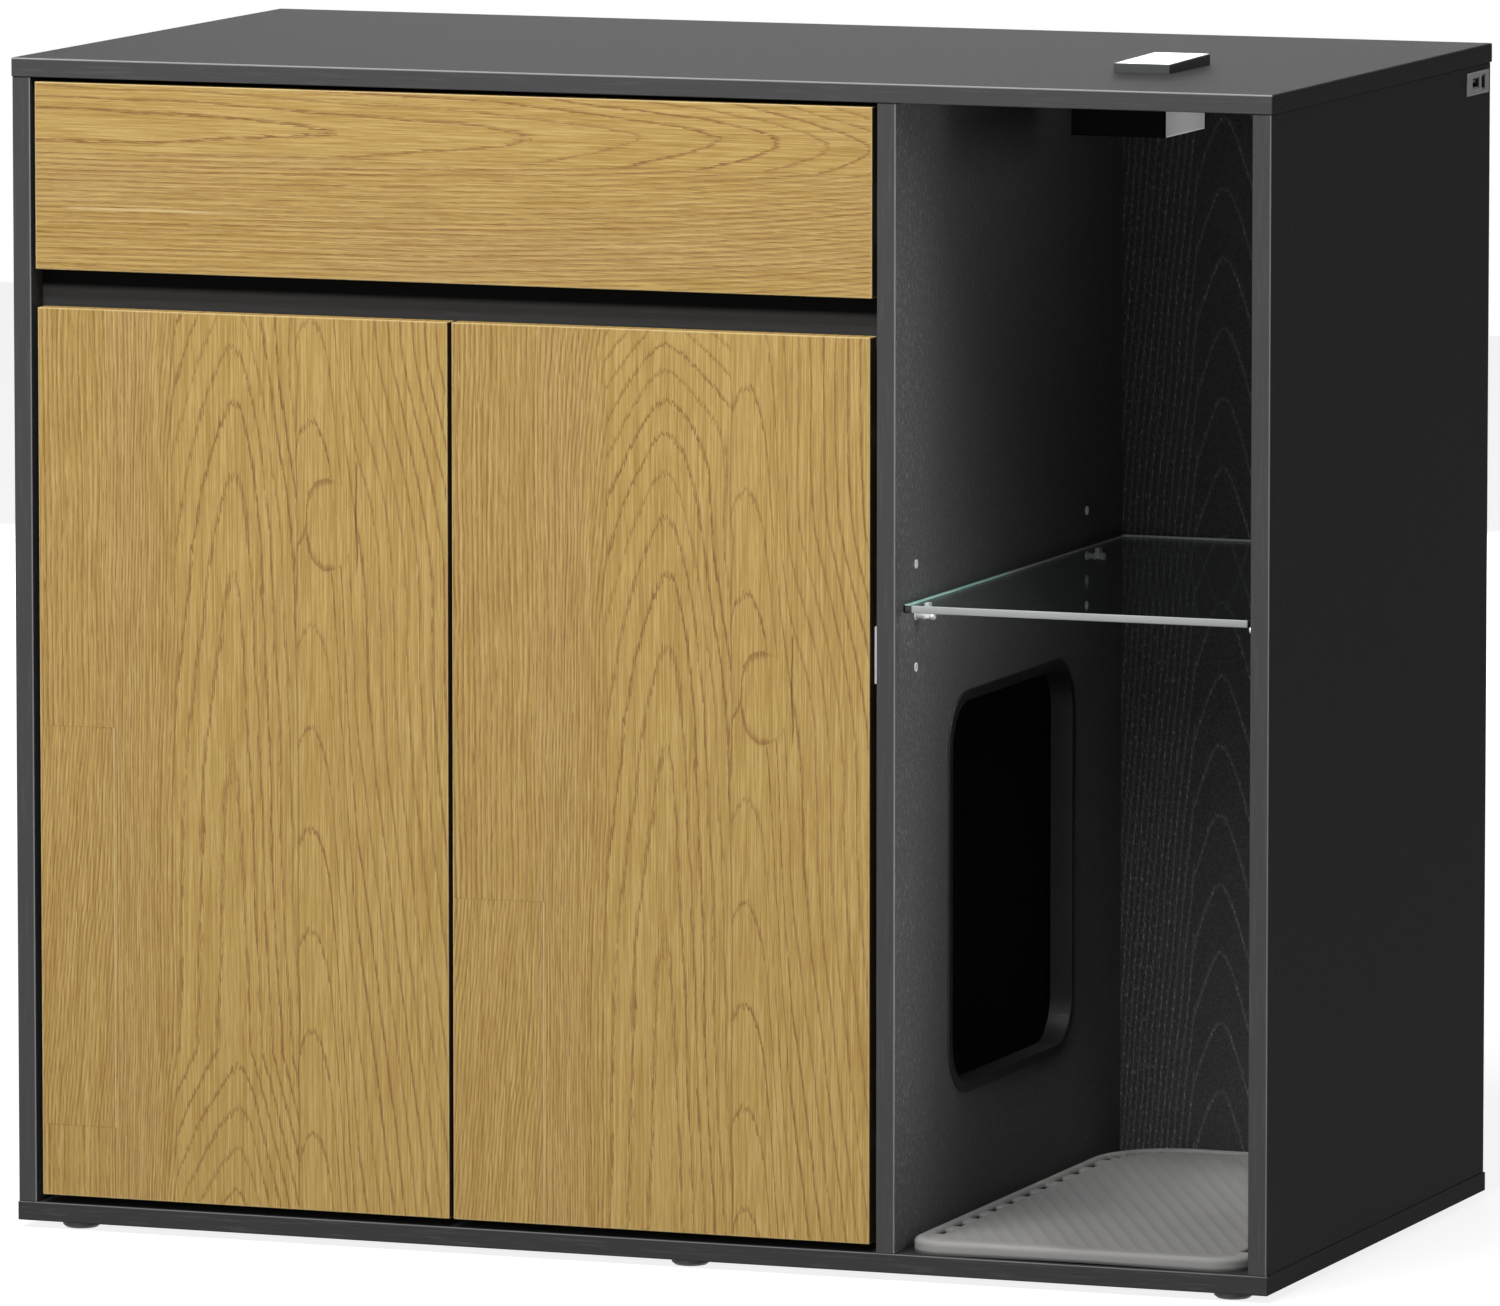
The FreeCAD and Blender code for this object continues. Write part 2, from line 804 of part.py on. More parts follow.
def drawer_bottom_ranges(grow):
    """Bottom board's ranges; it sits in grooves in all four walls of the box."""
    depth = box_groove - grow
    x = (box_left + box_board - depth, box_right - box_board + depth)
    y = (fronts_back_y - depth, fronts_back_y + box_length - box_board + depth)
    return x, y


def drawer_bottom_room():
    x, y = drawer_bottom_ranges(0)
    z = box_bottom_z + box_bottom_lift
    return block(x, y, (z, z + box_bottom_thickness + groove_gap))


def drawer_bottom():
    x, y = drawer_bottom_ranges(back_edge_gap)
    z = box_bottom_z + box_bottom_lift
    return block(x, y, (z, z + box_bottom_thickness))


def drawer_dowel_points():
    """(x, y, z, direction) of each dowel's start: sides into the front, back into the sides."""
    points = []
    levels = (box_bottom_z + box_dowel_low, box_bottom_z + box_dowel_high)
    back_y = fronts_back_y + box_length - box_board / 2
    for index, side in enumerate(box_side_ranges()):
        middle = (side[0] + side[1]) / 2
        for z in levels:
            points.append((middle, fronts_back_y - dowel_in_board, z, (0, 1, 0)))
            inner = side[1] if index == 0 else side[0]
            way = 1 if index == 0 else -1
            points.append((inner - way * dowel_in_board, back_y, z, (way, 0, 0)))
    return points


def drawer_dowels(radius=dowel_radius, extra=0.0):
    shapes = []
    for x, y, z, way in drawer_dowel_points():
        start = (x - way[0] * extra, y - way[1] * extra, z)
        shapes.append(rod(start, way, radius, dowel_length + 2 * extra))
    return shapes


def drawer_dowel_bores():
    return drawer_dowels(dowel_radius + dowel_fit, dowel_fit)


# --- drawer runners, drawn for the left side with X from the cabinet's wall

def channel(web, flange_end, half_height, length_y):
    """Sheet channel: a web at X from web to web + sheet, flanges running to flange_end."""
    low = min(web, flange_end)
    high = max(web + runner_sheet, flange_end)
    outer = runner_block((low, high), length_y, (-half_height, half_height))
    inner_x = (web + runner_sheet, high) if flange_end > web else (low, web)
    hollow = runner_block(inner_x, length_y, (runner_sheet - half_height, half_height - runner_sheet))
    return outer.cut(hollow)


def runner_block(x, y, z):
    return block((x[0] - side_in, x[1] - side_in), (y[0] + runner_front_y, y[1] + runner_front_y),
                 (z[0] + runner_z, z[1] + runner_z))


def runner_sizes():
    """Half heights of the three members, one ball apart."""
    ball_room = 2 * (ball_radius + ball_gap)
    outer = runner_height / 2
    middle = outer - runner_sheet - ball_room
    inner = middle - runner_sheet - ball_room
    return outer, middle, inner


def cabinet_runner():
    outer, _, _ = runner_sizes()
    return channel(0, cabinet_flange, outer, (0, runner_length))


def middle_runner():
    _, middle, _ = runner_sizes()
    return channel(middle_web, middle_flange, middle, (0, runner_length))


def drawer_runner():
    _, _, inner = runner_sizes()
    web = runner_thickness - runner_sheet
    return channel(web, drawer_flange, inner, (0, runner_length))


def ball_cage(half_height, web, flange_end, start):
    """Strip cage with a row of balls above and below."""
    centre = half_height - runner_sheet - ball_radius - ball_gap
    y = (start, start + cage_length)
    half = centre + cage_sheet / 2
    outer = runner_block((web, flange_end), y, (-half, half))
    hollow = runner_block((web + cage_sheet, flange_end), y, (cage_sheet - half, half - cage_sheet))
    shape = outer.cut(hollow)
    ball_x = (web + cage_sheet + flange_end) / 2
    balls = []
    for index in range(ball_count):
        for side in (-1, 1):
            centre_point = V(ball_x - side_in, runner_front_y + start + cage_margin + index * ball_pitch,
                             runner_z + side * centre)
            balls.append(Part.makeSphere(ball_radius, centre_point))
    return shape.fuse(balls)


def runner_cages():
    outer, middle, _ = runner_sizes()
    outer_start = runner_length - cage_end_gap - cage_length
    first = ball_cage(outer, outer_cage_web, outer_cage_flange, outer_start)
    second = ball_cage(middle, inner_cage_web, inner_cage_flange, cage_end_gap)
    return group([first, second])


# --- shelf fittings

def revolved_along_x(points, x, y, z, way):
    """Solid of revolution about a line along X through (y, z); points are (distance, radius) pairs."""
    corners = [V(x + way * d, y + r, z) for d, r in points]
    wire = Part.makePolygon(corners + [corners[0]])
    return Part.Face(wire).revolve(V(x, y, z), V(1, 0, 0), 360)


def pin_seats():
    """(face, way out of the board, y) of every pin column."""
    return [(face, way, y) for face, way in ((divider_right, 1), (side_in, -1)) for y in pin_columns]


def pin_sleeves():
    shapes = []
    points = ((-sleeve_length, sleeve_bore), (-sleeve_length, sleeve_radius), (0, sleeve_radius),
              (0, sleeve_flange_radius), (sleeve_flange, sleeve_flange_radius), (sleeve_flange, sleeve_bore))
    for face, way, y in pin_seats():
        for z in sleeve_levels:
            shapes.append(revolved_along_x(points, face, y, z, way))
    return group(shapes)


def peg_profile():
    """Half outline of a peg: shank in the sleeve, collar, neck, bead, neck and thick tip."""
    points = [(-peg_depth, 0), (-peg_depth, peg_radius), (sleeve_flange, peg_radius)]
    along = sleeve_flange
    for radius, length in ((peg_bead_radius, peg_collar), (peg_neck_radius, peg_first_neck),
                           (peg_bead_radius, peg_bead), (peg_neck_radius, peg_second_neck)):
        points.append((along, radius))
        along += length
        points.append((along, radius))
        along += peg_step
    points += [(along, peg_bead_radius), (peg_reach - peg_tip_round, peg_bead_radius)]
    return points + [(peg_reach, peg_bead_radius - peg_tip_round), (peg_reach, 0)]


def shelf_pins():
    return group([revolved_along_x(peg_profile(), face, y, foot_height + pin_level, way)
                  for face, way, y in pin_seats()])


def shelf_pads():
    """Soft saddles between the pegs' stems and the glass."""
    shapes = []
    z = (foot_height + pin_level - pad_drop, foot_height + shelf_level)
    for face, way, y in pin_seats():
        ends = sorted((face + way * pad_start, face + way * (pad_start + pad_width)))
        saddle = block(ends, (y - pad_half_depth, y + pad_half_depth), z)
        stem = rod((face, y, foot_height + pin_level), (way, 0, 0), peg_neck_radius + pad_fit, peg_reach)
        shapes.append(saddle.cut(stem))
    return group(shapes)


def glass_shelf():
    z = foot_height + shelf_level
    shape = block((divider_right + shelf_side_gap, side_in - shelf_side_gap),
                  (front_y + shelf_front_inset, back_front_y - shelf_rear_gap), (z, z + shelf_thickness))
    return shape.makeChamfer(shelf_chamfer, shape.Edges)


# --- cat entry trim

def entry_opening(x, thickness):
    width = entry_width - 2 * entry_flange
    height = entry_height - 2 * entry_flange
    return entry_prism(width, height, entry_radius - entry_flange, x, thickness)


def entry_trim_front():
    """Flange on the divider's right face with a sleeve through the board."""
    flange = entry_prism(entry_width, entry_height, entry_radius, divider_right, entry_flange_thickness)
    outer_edges = [e for e in flange.Edges if e.BoundBox.XMin > divider_right + entry_flange_thickness / 2]
    flange = flange.makeFillet(entry_round, outer_edges)
    width, height, radius = entry_hole_size()
    fit = 2 * entry_fit
    sleeve = entry_prism(width - fit, height - fit, radius - entry_fit, divider_left, board)
    shape = flange.fuse(sleeve)
    return shape.cut(entry_opening(divider_left, board + entry_flange_thickness)).removeSplitter()


def entry_trim_rear():
    """Matching ring on the divider's left face."""
    x = divider_left - entry_flange_thickness
    ring = entry_prism(entry_width, entry_height, entry_radius, x, entry_flange_thickness)
    outer_edges = [e for e in ring.Edges if e.BoundBox.XMax < x + entry_flange_thickness / 2]
    ring = ring.makeFillet(entry_round, outer_edges)
    return ring.cut(entry_opening(x, entry_flange_thickness))


# --- litter mat

def litter_mat():
    x = (divider_right + mat_left_gap, side_in - mat_right_gap)
    y = (front_y + mat_front_inset, back_front_y - mat_rear_gap)
    z = (floor_z, floor_z + mat_thickness)
    shape = block(x, y, z)
    middle_y = (y[0] + y[1]) / 2
    upright = [e for e in shape.Edges if e.Length < mat_thickness + arris]
    front_edges = [e for e in upright if e.BoundBox.YMax < middle_y]
    rear_edges = [e for e in upright if e.BoundBox.YMin > middle_y]
    shape = shape.makeFillet(mat_front_radius, front_edges)
    rear_edges = [e for e in shape.Edges if abs(e.BoundBox.ZLength - mat_thickness) < arris
                  and abs(e.BoundBox.YMin - y[1]) < arris]
    shape = shape.makeFillet(mat_rear_radius, rear_edges)
    upper = [e for e in shape.Edges if e.BoundBox.ZMin > z[1] - arris]
    return shape.makeFillet(mat_round, upper)


# --- charging module

def module_box(length, y_start, height):
    x = (module_centre_x - module_width / 2, module_centre_x + module_width / 2)
    return block(x, (y_start, y_start + length), (ceiling_z - height, ceiling_z))


def module_ends():
    low = module_centre_y - module_length / 2
    return low, low + module_length


def module_sleeve():
    low, high = module_ends()
    shape = module_box(high - low - 2 * module_cap, low + module_cap, module_height)
    half = module_width / 2 - module_wall
    inner_x = (module_centre_x - half, module_centre_x + half)
    inner = block(inner_x, (low, high), (ceiling_z - module_height + module_wall, ceiling_z - module_wall))
    return shape.cut(inner).cut(rod((pad_box_centre_x, pad_box_centre_y, ceiling_z - module_wall), (0, 0, 1),
                                    stem_radius + stem_gap, module_wall))


def module_end_cap(rear):
    low, high = module_ends()
    start = high - module_cap if rear else low
    shape = module_box(module_cap, start, module_height)
    outside = high if rear else low
    rim = [e for e in shape.Edges
           if abs(e.BoundBox.YMin - outside) < arris and abs(e.BoundBox.YMax - outside) < arris]
    return shape.makeFillet(module_round, rim)


def pad_wedge(inset, base):
    """Wedge whose upper face rises from front to rear; inset from the sides, base above the top panel."""
    top_z = ceiling_z + board
    half_x = pad_box_width / 2 - inset
    half_y = pad_box_length / 2 - inset
    slope = (pad_box_rear - pad_box_front) / pad_box_length
    front_z = pad_box_front + slope * inset
    rear_z = pad_box_rear - slope * inset
    y0 = pad_box_centre_y - half_y
    y1 = pad_box_centre_y + half_y
    x0 = pad_box_centre_x - half_x
    outline = [V(x0, y0, top_z + base), V(x0, y1, top_z + base),
               V(x0, y1, top_z + rear_z), V(x0, y0, top_z + front_z)]
    face = Part.Face(Part.makePolygon(outline + [outline[0]]))
    return face.extrude(V(2 * half_x, 0, 0))


def sloped_slab(inset, depth):
    """Slab of even thickness under the wedge's upper face."""
    whole = pad_wedge(inset, 0)
    lower = pad_wedge(inset, 0)
    lower.translate(V(0, 0, -depth))
    return whole.cut(lower)


def pad_shell():
    """Wedge with a recess for the face plate and a solid stem down through the top panel."""
    shape = pad_wedge(0, 0)
    upper_edges = [e for e in shape.Edges if e.BoundBox.ZMax > ceiling_z + board + arris]
    shape = shape.makeFillet(arris, upper_edges)
    stem = rod((pad_box_centre_x, pad_box_centre_y, ceiling_z - module_wall), (0, 0, 1), stem_radius,
               board + module_wall + arris)
    return shape.fuse(stem).cut(sloped_slab(pad_box_rim, face_thickness)).removeSplitter()


def pad_face():
    return sloped_slab(pad_box_rim + face_gap, face_thickness)


# --- port plate

def port_plate():
    x, y, z = port_centre()
    plate = centred_block((x + port_plate_thickness / 2, y, z),
                          (port_plate_thickness, port_plate_length, port_plate_height))
    for offset, lift, length, height in ((usb_offset, usb_lift, usb_length, usb_height),
                                         (socket_offset, 0, socket_length, socket_height)):
        size = (port_plate_thickness * 2, length + 2 * port_fit, height + 2 * port_fit)
        plate = plate.cut(centred_block((x + port_plate_thickness / 2, y + offset, z + lift), size))
    return plate


def port_shell(offset, lift, length, height):
    """Open-mouthed socket in the pocket, with a tongue in its middle."""
    x, y, z = port_centre()
    mouth = x + port_plate_thickness - mouth_inset
    outer = block((x - port_depth, mouth), (y + offset - length / 2, y + offset + length / 2),
                  (z + lift - height / 2, z + lift + height / 2))
    inner = block((x - port_depth + port_wall, mouth),
                  (y + offset - length / 2 + port_wall, y + offset + length / 2 - port_wall),
                  (z + lift - height / 2 + port_wall, z + lift + height / 2 - port_wall))
    return outer.cut(inner)


def usb_port():
    shell = port_shell(usb_offset, usb_lift, usb_length, usb_height)
    x, y, z = port_centre()
    half = usb_length / 2 - port_wall - tongue_side_gap
    middle = y + usb_offset
    tongue = block((x - port_depth, x - tongue_recess), (middle - half, middle + half),
                   (z + usb_lift, z + usb_lift + tongue_height))
    return shell.fuse(tongue).removeSplitter()


def power_socket():
    shell = port_shell(socket_offset, 0, socket_length, socket_height)
    x, y, z = port_centre()
    start = (x - port_depth, y + socket_offset, z)
    return shell.fuse(rod(start, (1, 0, 0), prong_radius, port_depth - prong_recess)).removeSplitter()


def build_nodes():
    nodes = {
        "top_panel": top_panel(),
        "bottom_panel": bottom_panel(),
        "left_side_panel": left_side_panel(),
        "right_side_panel": right_side_panel(),
        "divider_panel": divider_panel(),
        "left_back_panel": back_panel((-side_in, divider_left)),
        "right_back_panel": back_panel((divider_right, side_in)),
        "finger_rail": finger_rail(),
        "drawer_deck": drawer_deck(),
        "glide_feet": glide_feet(),
        "dowels": dowels(),
        "cam_locks": cam_locks(),
        "cam_bolts": cam_bolts(),
        "drawer_front": drawer_front(),
        "drawer_left_side": drawer_side(box_side_ranges()[0]),
        "drawer_right_side": drawer_side(box_side_ranges()[1]),
        "drawer_back": drawer_back(),
        "drawer_bottom": drawer_bottom(),
        "drawer_dowels": group(drawer_dowels()),
        "left_door": door(),
        "right_door": mirrored(door()),
        "hinge_plates": at_every_hinge(hinge_plate()),
        "hinge_pins": at_every_hinge(hinge_pin()),
        "hinge_plate_screws": at_every_hinge(plate_screws()),
        "left_door_screws": door_screws(),
        "right_door_screws": mirrored(door_screws()),
        "left_strike_plate": strike_plate(),
        "right_strike_plate": mirrored(strike_plate()),
        "door_catches": door_catches(),
        "divider_edge_plate": divider_edge_plate(),
        "glass_shelf": glass_shelf(),
        "shelf_pins": shelf_pins(),
        "shelf_pads": shelf_pads(),
        "pin_sleeves": pin_sleeves(),
        "entry_trim_front": entry_trim_front(),
        "entry_trim_rear": entry_trim_rear(),
        "litter_mat": litter_mat(),
        "module_sleeve": module_sleeve(),
        "module_end_caps": group([module_end_cap(False), module_end_cap(True)]),
        "pad_shell": pad_shell(),
        "pad_face": pad_face(),
        "port_plate": port_plate(),
        "usb_port": usb_port(),
        "power_socket": power_socket(),
    }
    for place, level in zip(("upper", "lower"), hinge_levels):
        for side in ("left", "right"):
            for name, shape in (("cup", hinge_cup()), ("arm", hinge_arm())):
                own = shape if side == "left" else mirrored(shape)
                nodes[f"{side}_{place}_hinge_{name}"] = at_level(own, level)
    for name, shape in (("cabinet_runner", cabinet_runner()), ("middle_runner", middle_runner()),
                        ("drawer_runner", drawer_runner()), ("runner_balls", runner_cages())):
        nodes[f"left_{name}"] = shape
        nodes[f"right_{name}"] = mirrored(shape)
    return nodes


os.makedirs("parts", exist_ok=True)
for node_name, node_shape in build_nodes().items():
    node_shape.exportStep(f"parts/{node_name}.step")
    box = node_shape.BoundBox
    print(node_name, len(node_shape.Solids), node_shape.isValid(), round(node_shape.Volume / 1000, 2),
          [round(value, 1) for value in (box.XMin, box.XMax, box.YMin, box.YMax, box.ZMin, box.ZMax)])
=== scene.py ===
import bpy
import json
import math
import numpy as np
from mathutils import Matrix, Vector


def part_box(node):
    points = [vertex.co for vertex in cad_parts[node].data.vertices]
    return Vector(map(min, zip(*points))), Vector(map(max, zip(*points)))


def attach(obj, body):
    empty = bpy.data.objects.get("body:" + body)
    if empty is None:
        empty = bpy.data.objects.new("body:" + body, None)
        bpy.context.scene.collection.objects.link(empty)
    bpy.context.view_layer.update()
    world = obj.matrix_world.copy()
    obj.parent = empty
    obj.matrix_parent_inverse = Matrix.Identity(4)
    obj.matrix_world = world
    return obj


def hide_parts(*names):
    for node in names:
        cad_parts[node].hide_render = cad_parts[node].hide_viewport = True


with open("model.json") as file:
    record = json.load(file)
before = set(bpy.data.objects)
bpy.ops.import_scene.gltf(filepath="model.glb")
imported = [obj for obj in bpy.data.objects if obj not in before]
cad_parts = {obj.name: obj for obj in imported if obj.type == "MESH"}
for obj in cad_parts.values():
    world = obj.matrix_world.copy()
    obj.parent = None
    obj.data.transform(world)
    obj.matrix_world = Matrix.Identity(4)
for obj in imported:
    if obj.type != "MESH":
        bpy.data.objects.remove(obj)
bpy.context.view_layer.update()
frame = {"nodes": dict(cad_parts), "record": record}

nodes = frame["nodes"]
print("cabinet loaded,", len(nodes), "pieces")


# ---- small helpers for shader nodes ----

def srgb(red, green, blue):
    # 0 to 255 values as they show on screen, turned into linear light
    share = np.array((red, green, blue)) / 255.0
    linear = np.where(share <= 0.04045, share / 12.92, ((share + 0.055) / 1.055) ** 2.4)
    return (*[float(part) for part in linear], 1.0)


class Wire:
    # one number travelling through a node tree, so that formulas can be written as formulas
    def __init__(self, tree, socket):
        self.tree = tree
        self.socket = socket

    def op(self, operation, *others, clamp=False):
        return blend(self.tree, operation, self, *others, clamp=clamp)

    def __add__(self, other):
        return self.op("ADD", other)

    def __sub__(self, other):
        return self.op("SUBTRACT", other)

    def __mul__(self, other):
        return self.op("MULTIPLY", other)

    def __truediv__(self, other):
        return self.op("DIVIDE", other)

    def __radd__(self, other):
        return blend(self.tree, "ADD", other, self)

    def __rsub__(self, other):
        return blend(self.tree, "SUBTRACT", other, self)

    def __rmul__(self, other):
        return blend(self.tree, "MULTIPLY", other, self)


def plug(tree, value, socket):
    if isinstance(value, Wire):
        tree.links.new(value.socket, socket)
    elif isinstance(value, bpy.types.NodeSocket):
        tree.links.new(value, socket)
    else:
        socket.default_value = value


def blend(tree, operation, *values, clamp=False):
    node = tree.nodes.new("ShaderNodeMath")
    node.operation = operation
    node.use_clamp = clamp
    for value, socket in zip(values, node.inputs):
        plug(tree, value, socket)
    return Wire(tree, node.outputs[0])


def ramp(value, low, high):
    # 0 below low, 1 above high, smooth between; low may be the larger one
    node = value.tree.nodes.new("ShaderNodeMapRange")
    node.interpolation_type = "SMOOTHSTEP"
    for name, number in (("Value", value), ("From Min", low), ("From Max", high)):
        plug(value.tree, number, node.inputs[name])
    return Wire(value.tree, node.outputs["Result"])


def split(tree, vector):
    node = tree.nodes.new("ShaderNodeSeparateXYZ")
    plug(tree, vector, node.inputs[0])
    return [Wire(tree, output) for output in node.outputs]


def joined(tree, x, y, z):
    node = tree.nodes.new("ShaderNodeCombineXYZ")
    for value, socket in zip((x, y, z), node.inputs):
        plug(tree, value, socket)
    return node.outputs[0]


def noise(tree, vector, stretch, detail=2.0, roughness=0.5, shift=0.0):
    # stretch is how many noise cells fit in one unit along each axis
    place = tree.nodes.new("ShaderNodeMapping")
    plug(tree, vector, place.inputs["Vector"])
    place.inputs["Scale"].default_value = stretch
    place.inputs["Location"].default_value = (shift, shift * 0.7, shift * 1.3)
    node = tree.nodes.new("ShaderNodeTexNoise")
    plug(tree, place.outputs[0], node.inputs["Vector"])
    node.inputs["Scale"].default_value = 1.0
    node.inputs["Detail"].default_value = detail
    node.inputs["Roughness"].default_value = roughness
    return Wire(tree, node.outputs["Fac"])


def mixed(tree, share, first, second, way="MIX"):
    node = tree.nodes.new("ShaderNodeMix")
    node.data_type = "RGBA"
    node.blend_type = way
    plug(tree, share, node.inputs[0])
    plug(tree, first, node.inputs[6])
    plug(tree, second, node.inputs[7])
    return node.outputs[2]


socketKinds = {"float": "NodeSocketFloat", "vector": "NodeSocketVector", "color": "NodeSocketColor"}


def newGroup(name, given, made):
    tree = bpy.data.node_groups.new(name, "ShaderNodeTree")
    for label, kind in given:
        tree.interface.new_socket(label, in_out="INPUT", socket_type=socketKinds[kind])
    for label, kind in made:
        tree.interface.new_socket(label, in_out="OUTPUT", socket_type=socketKinds[kind])
    start = tree.nodes.new("NodeGroupInput")
    end = tree.nodes.new("NodeGroupOutput")
    return tree, start.outputs, end.inputs


def placed(tree, group, **values):
    node = tree.nodes.new("ShaderNodeGroup")
    node.node_tree = group
    for name, value in values.items():
        plug(tree, value, node.inputs[name])
    return node.outputs


def wire(tree, socket):
    return Wire(tree, socket)


# ---- shared effects ----

def arrisGroup():
    # 1 on the edges between two faces of a box, 0 away from them
    tree, given, made = newGroup("arrisMask", [("Place", "vector"), ("Low", "vector"), ("High", "vector"),
                                               ("Width", "float")], [("Mask", "float")])
    place = split(tree, given["Place"])
    low = split(tree, given["Low"])
    high = split(tree, given["High"])
    gaps = [(p - a).op("MINIMUM", b - p) for p, a, b in zip(place, low, high)]
    least = gaps[0].op("MINIMUM", gaps[1]).op("MINIMUM", gaps[2])
    most = gaps[0].op("MAXIMUM", gaps[1]).op("MAXIMUM", gaps[2])
    middle = gaps[0] + gaps[1] + gaps[2] - least - most
    width = wire(tree, given["Width"])
    wander = noise(tree, given["Place"], (90, 90, 90), 3.0)
    plug(tree, ramp(middle, width * (wander + 0.5), 0.0), made["Mask"])
    return tree


def cornerGroup():
    # 1 along one straight line, 0 away from it: Axes is 1 for each axis that counts
    tree, given, made = newGroup("cornerLine", [("Place", "vector"), ("Point", "vector"), ("Axes", "vector"),
                                                ("Width", "float")], [("Mask", "float")])
    place = split(tree, given["Place"])
    point = split(tree, given["Point"])
    axes = split(tree, given["Axes"])
    total = 0.0
    for p, q, a in zip(place, point, axes):
        gap = (p - q) * a
        total = gap * gap + total
    plug(tree, ramp(total.op("SQRT"), given["Width"], 0.0), made["Mask"])
    return tree


def ringGroup():
    # growth rings of a flat-sawn board. Place is in mm, X across and Z down the arches.
    # field = drop - x * x / (x + roundness) * rings per mm, with x the bent distance from the arch's axis.
    # The arches' left and right legs have their own rings per mm. Left of Reach the rings lie closer, at
    # FarRate, and over the next Fade mm the arches turn into straight grain.
    # slope is how many rings pass in one mm there, so that a line can keep its width
    tree, given, made = newGroup("growthRings", [("Place", "vector"), ("Drop", "float"), ("DropRate", "float"),
                                                 ("Axis", "float"), ("Roundness", "float"), ("LeftRate", "float"),
                                                 ("RightRate", "float"), ("FarRate", "float"), ("Reach", "float"),
                                                 ("Fade", "float"), ("Bend", "float"), ("Ragged", "float")],
                                 [("Field", "float"), ("Slope", "float")])
    x, _, z = split(tree, given["Place"])
    bend = wire(tree, given["Bend"])
    roundness = wire(tree, given["Roundness"])
    leftRate = wire(tree, given["LeftRate"])
    rightRate = wire(tree, given["RightRate"])
    reach = wire(tree, given["Reach"])
    slow = noise(tree, given["Place"], (0.016, 0.01, 0.005), 1.0) - 0.5
    middle = noise(tree, given["Place"], (0.07, 0.02, 0.017), 1.0, shift=5.0) - 0.5
    fine = noise(tree, given["Place"], (1.1, 0.4, 0.07), 1.0, shift=9.0) - 0.5
    offset = x - wire(tree, given["Axis"]) + bend * (slow * 20.0 + middle * 6.0)
    away = offset.op("ABSOLUTE")
    isLeft = (offset * -1.0).op("GREATER_THAN", 0.0)
    rate = isLeft * (leftRate - rightRate) + rightRate
    closer = isLeft * (wire(tree, given["FarRate"]) - leftRate)
    side = away * away / (away + roundness) * rate + (away - reach).op("MAXIMUM", 0.0) * closer
    held = 1.0 - ramp(offset * -1.0, reach, reach + wire(tree, given["Fade"]))
    plug(tree, wire(tree, given["Drop"]) * held - side + fine * wire(tree, given["Ragged"]), made["Field"])
    rise = away * (away + roundness * 2.0) / ((away + roundness) * (away + roundness)) * rate
    rise = rise + away.op("GREATER_THAN", reach) * closer
    fall = wire(tree, given["DropRate"]) * held
    plug(tree, (rise * rise + fall * fall).op("SQRT"), made["Slope"])
    return tree


def woodGroup():
    # from a ring field to what shows: dark late-wood lines, pores along the grain, pale streaks, fine fibre
    tree, given, made = newGroup("woodFigure", [("Place", "vector"), ("Field", "float"), ("Slope", "float")],
                                 [("Line", "float"), ("Pores", "float"), ("Streak", "float"), ("Dotted", "float"),
                                  ("Specks", "float"), ("Fibre", "float")])
    place = given["Place"]
    field = wire(tree, given["Field"])
    phase = field.op("FRACT")
    pick = tree.nodes.new("ShaderNodeTexWhiteNoise")
    pick.noise_dimensions = "1D"
    plug(tree, field.op("FLOOR"), pick.inputs["W"])
    strength = wire(tree, pick.outputs["Value"]) * 0.45 + 0.55
    slope = wire(tree, given["Slope"]).op("MINIMUM", 0.32)
    late = ramp(phase, 1.0 - slope * 3.1, 1.0 - slope * 0.9) * ramp(phase, 1.0, 1.0 - slope * 0.4)
    crowded = ramp(slope, 0.34, 0.12) * 0.55 + 0.45         # close lines are fainter
    broken = ramp(noise(tree, place, (0.7, 0.3, 0.06), 3.0, 0.65, shift=3.0), 0.28, 0.56)
    pores = ramp(noise(tree, place, (1.0, 0.4, 0.06), 2.0, 0.6, shift=17.0), 0.54, 0.66)
    specks = ramp(noise(tree, place, (0.8, 0.4, 0.21), 2.0, 0.6, shift=53.0), 0.56, 0.68)
    plug(tree, late * strength * broken * crowded, made["Line"])
    plug(tree, pores * (late * 0.6 + 0.4), made["Pores"])
    plug(tree, ramp(noise(tree, place, (0.3, 0.2, 0.008), 2.0, shift=23.0), 0.5, 0.72), made["Streak"])
    plug(tree, late * (specks * 0.8 + 0.2), made["Dotted"])
    plug(tree, specks, made["Specks"])
    plug(tree, noise(tree, place, (0.95, 0.3, 0.018), 3.0, 0.7, shift=41.0), made["Fibre"])
    return tree


arrisMask = arrisGroup()
cornerLine = cornerGroup()
growthRings = ringGroup()
woodFigure = woodGroup()
print("shared node groups made")


# ---- finishes ----

def newMaterial(name, **settings):
    material = bpy.data.materials.new(name)
    material.use_nodes = True
    tree = material.node_tree
    shader = tree.nodes["Principled BSDF"]
    for label, value in settings.items():
        shader.inputs[label.replace("_", " ")].default_value = value
    coords = tree.nodes.new("ShaderNodeTexCoord").outputs["Object"]
    return material, tree, shader, coords


def bumped(tree, shader, height, distance, strength=1.0):
    bump = tree.nodes.new("ShaderNodeBump")
    bump.inputs["Distance"].default_value = distance
    bump.inputs["Strength"].default_value = strength
    plug(tree, height, bump.inputs["Height"])
    tree.links.new(bump.outputs["Normal"], shader.inputs["Normal"])


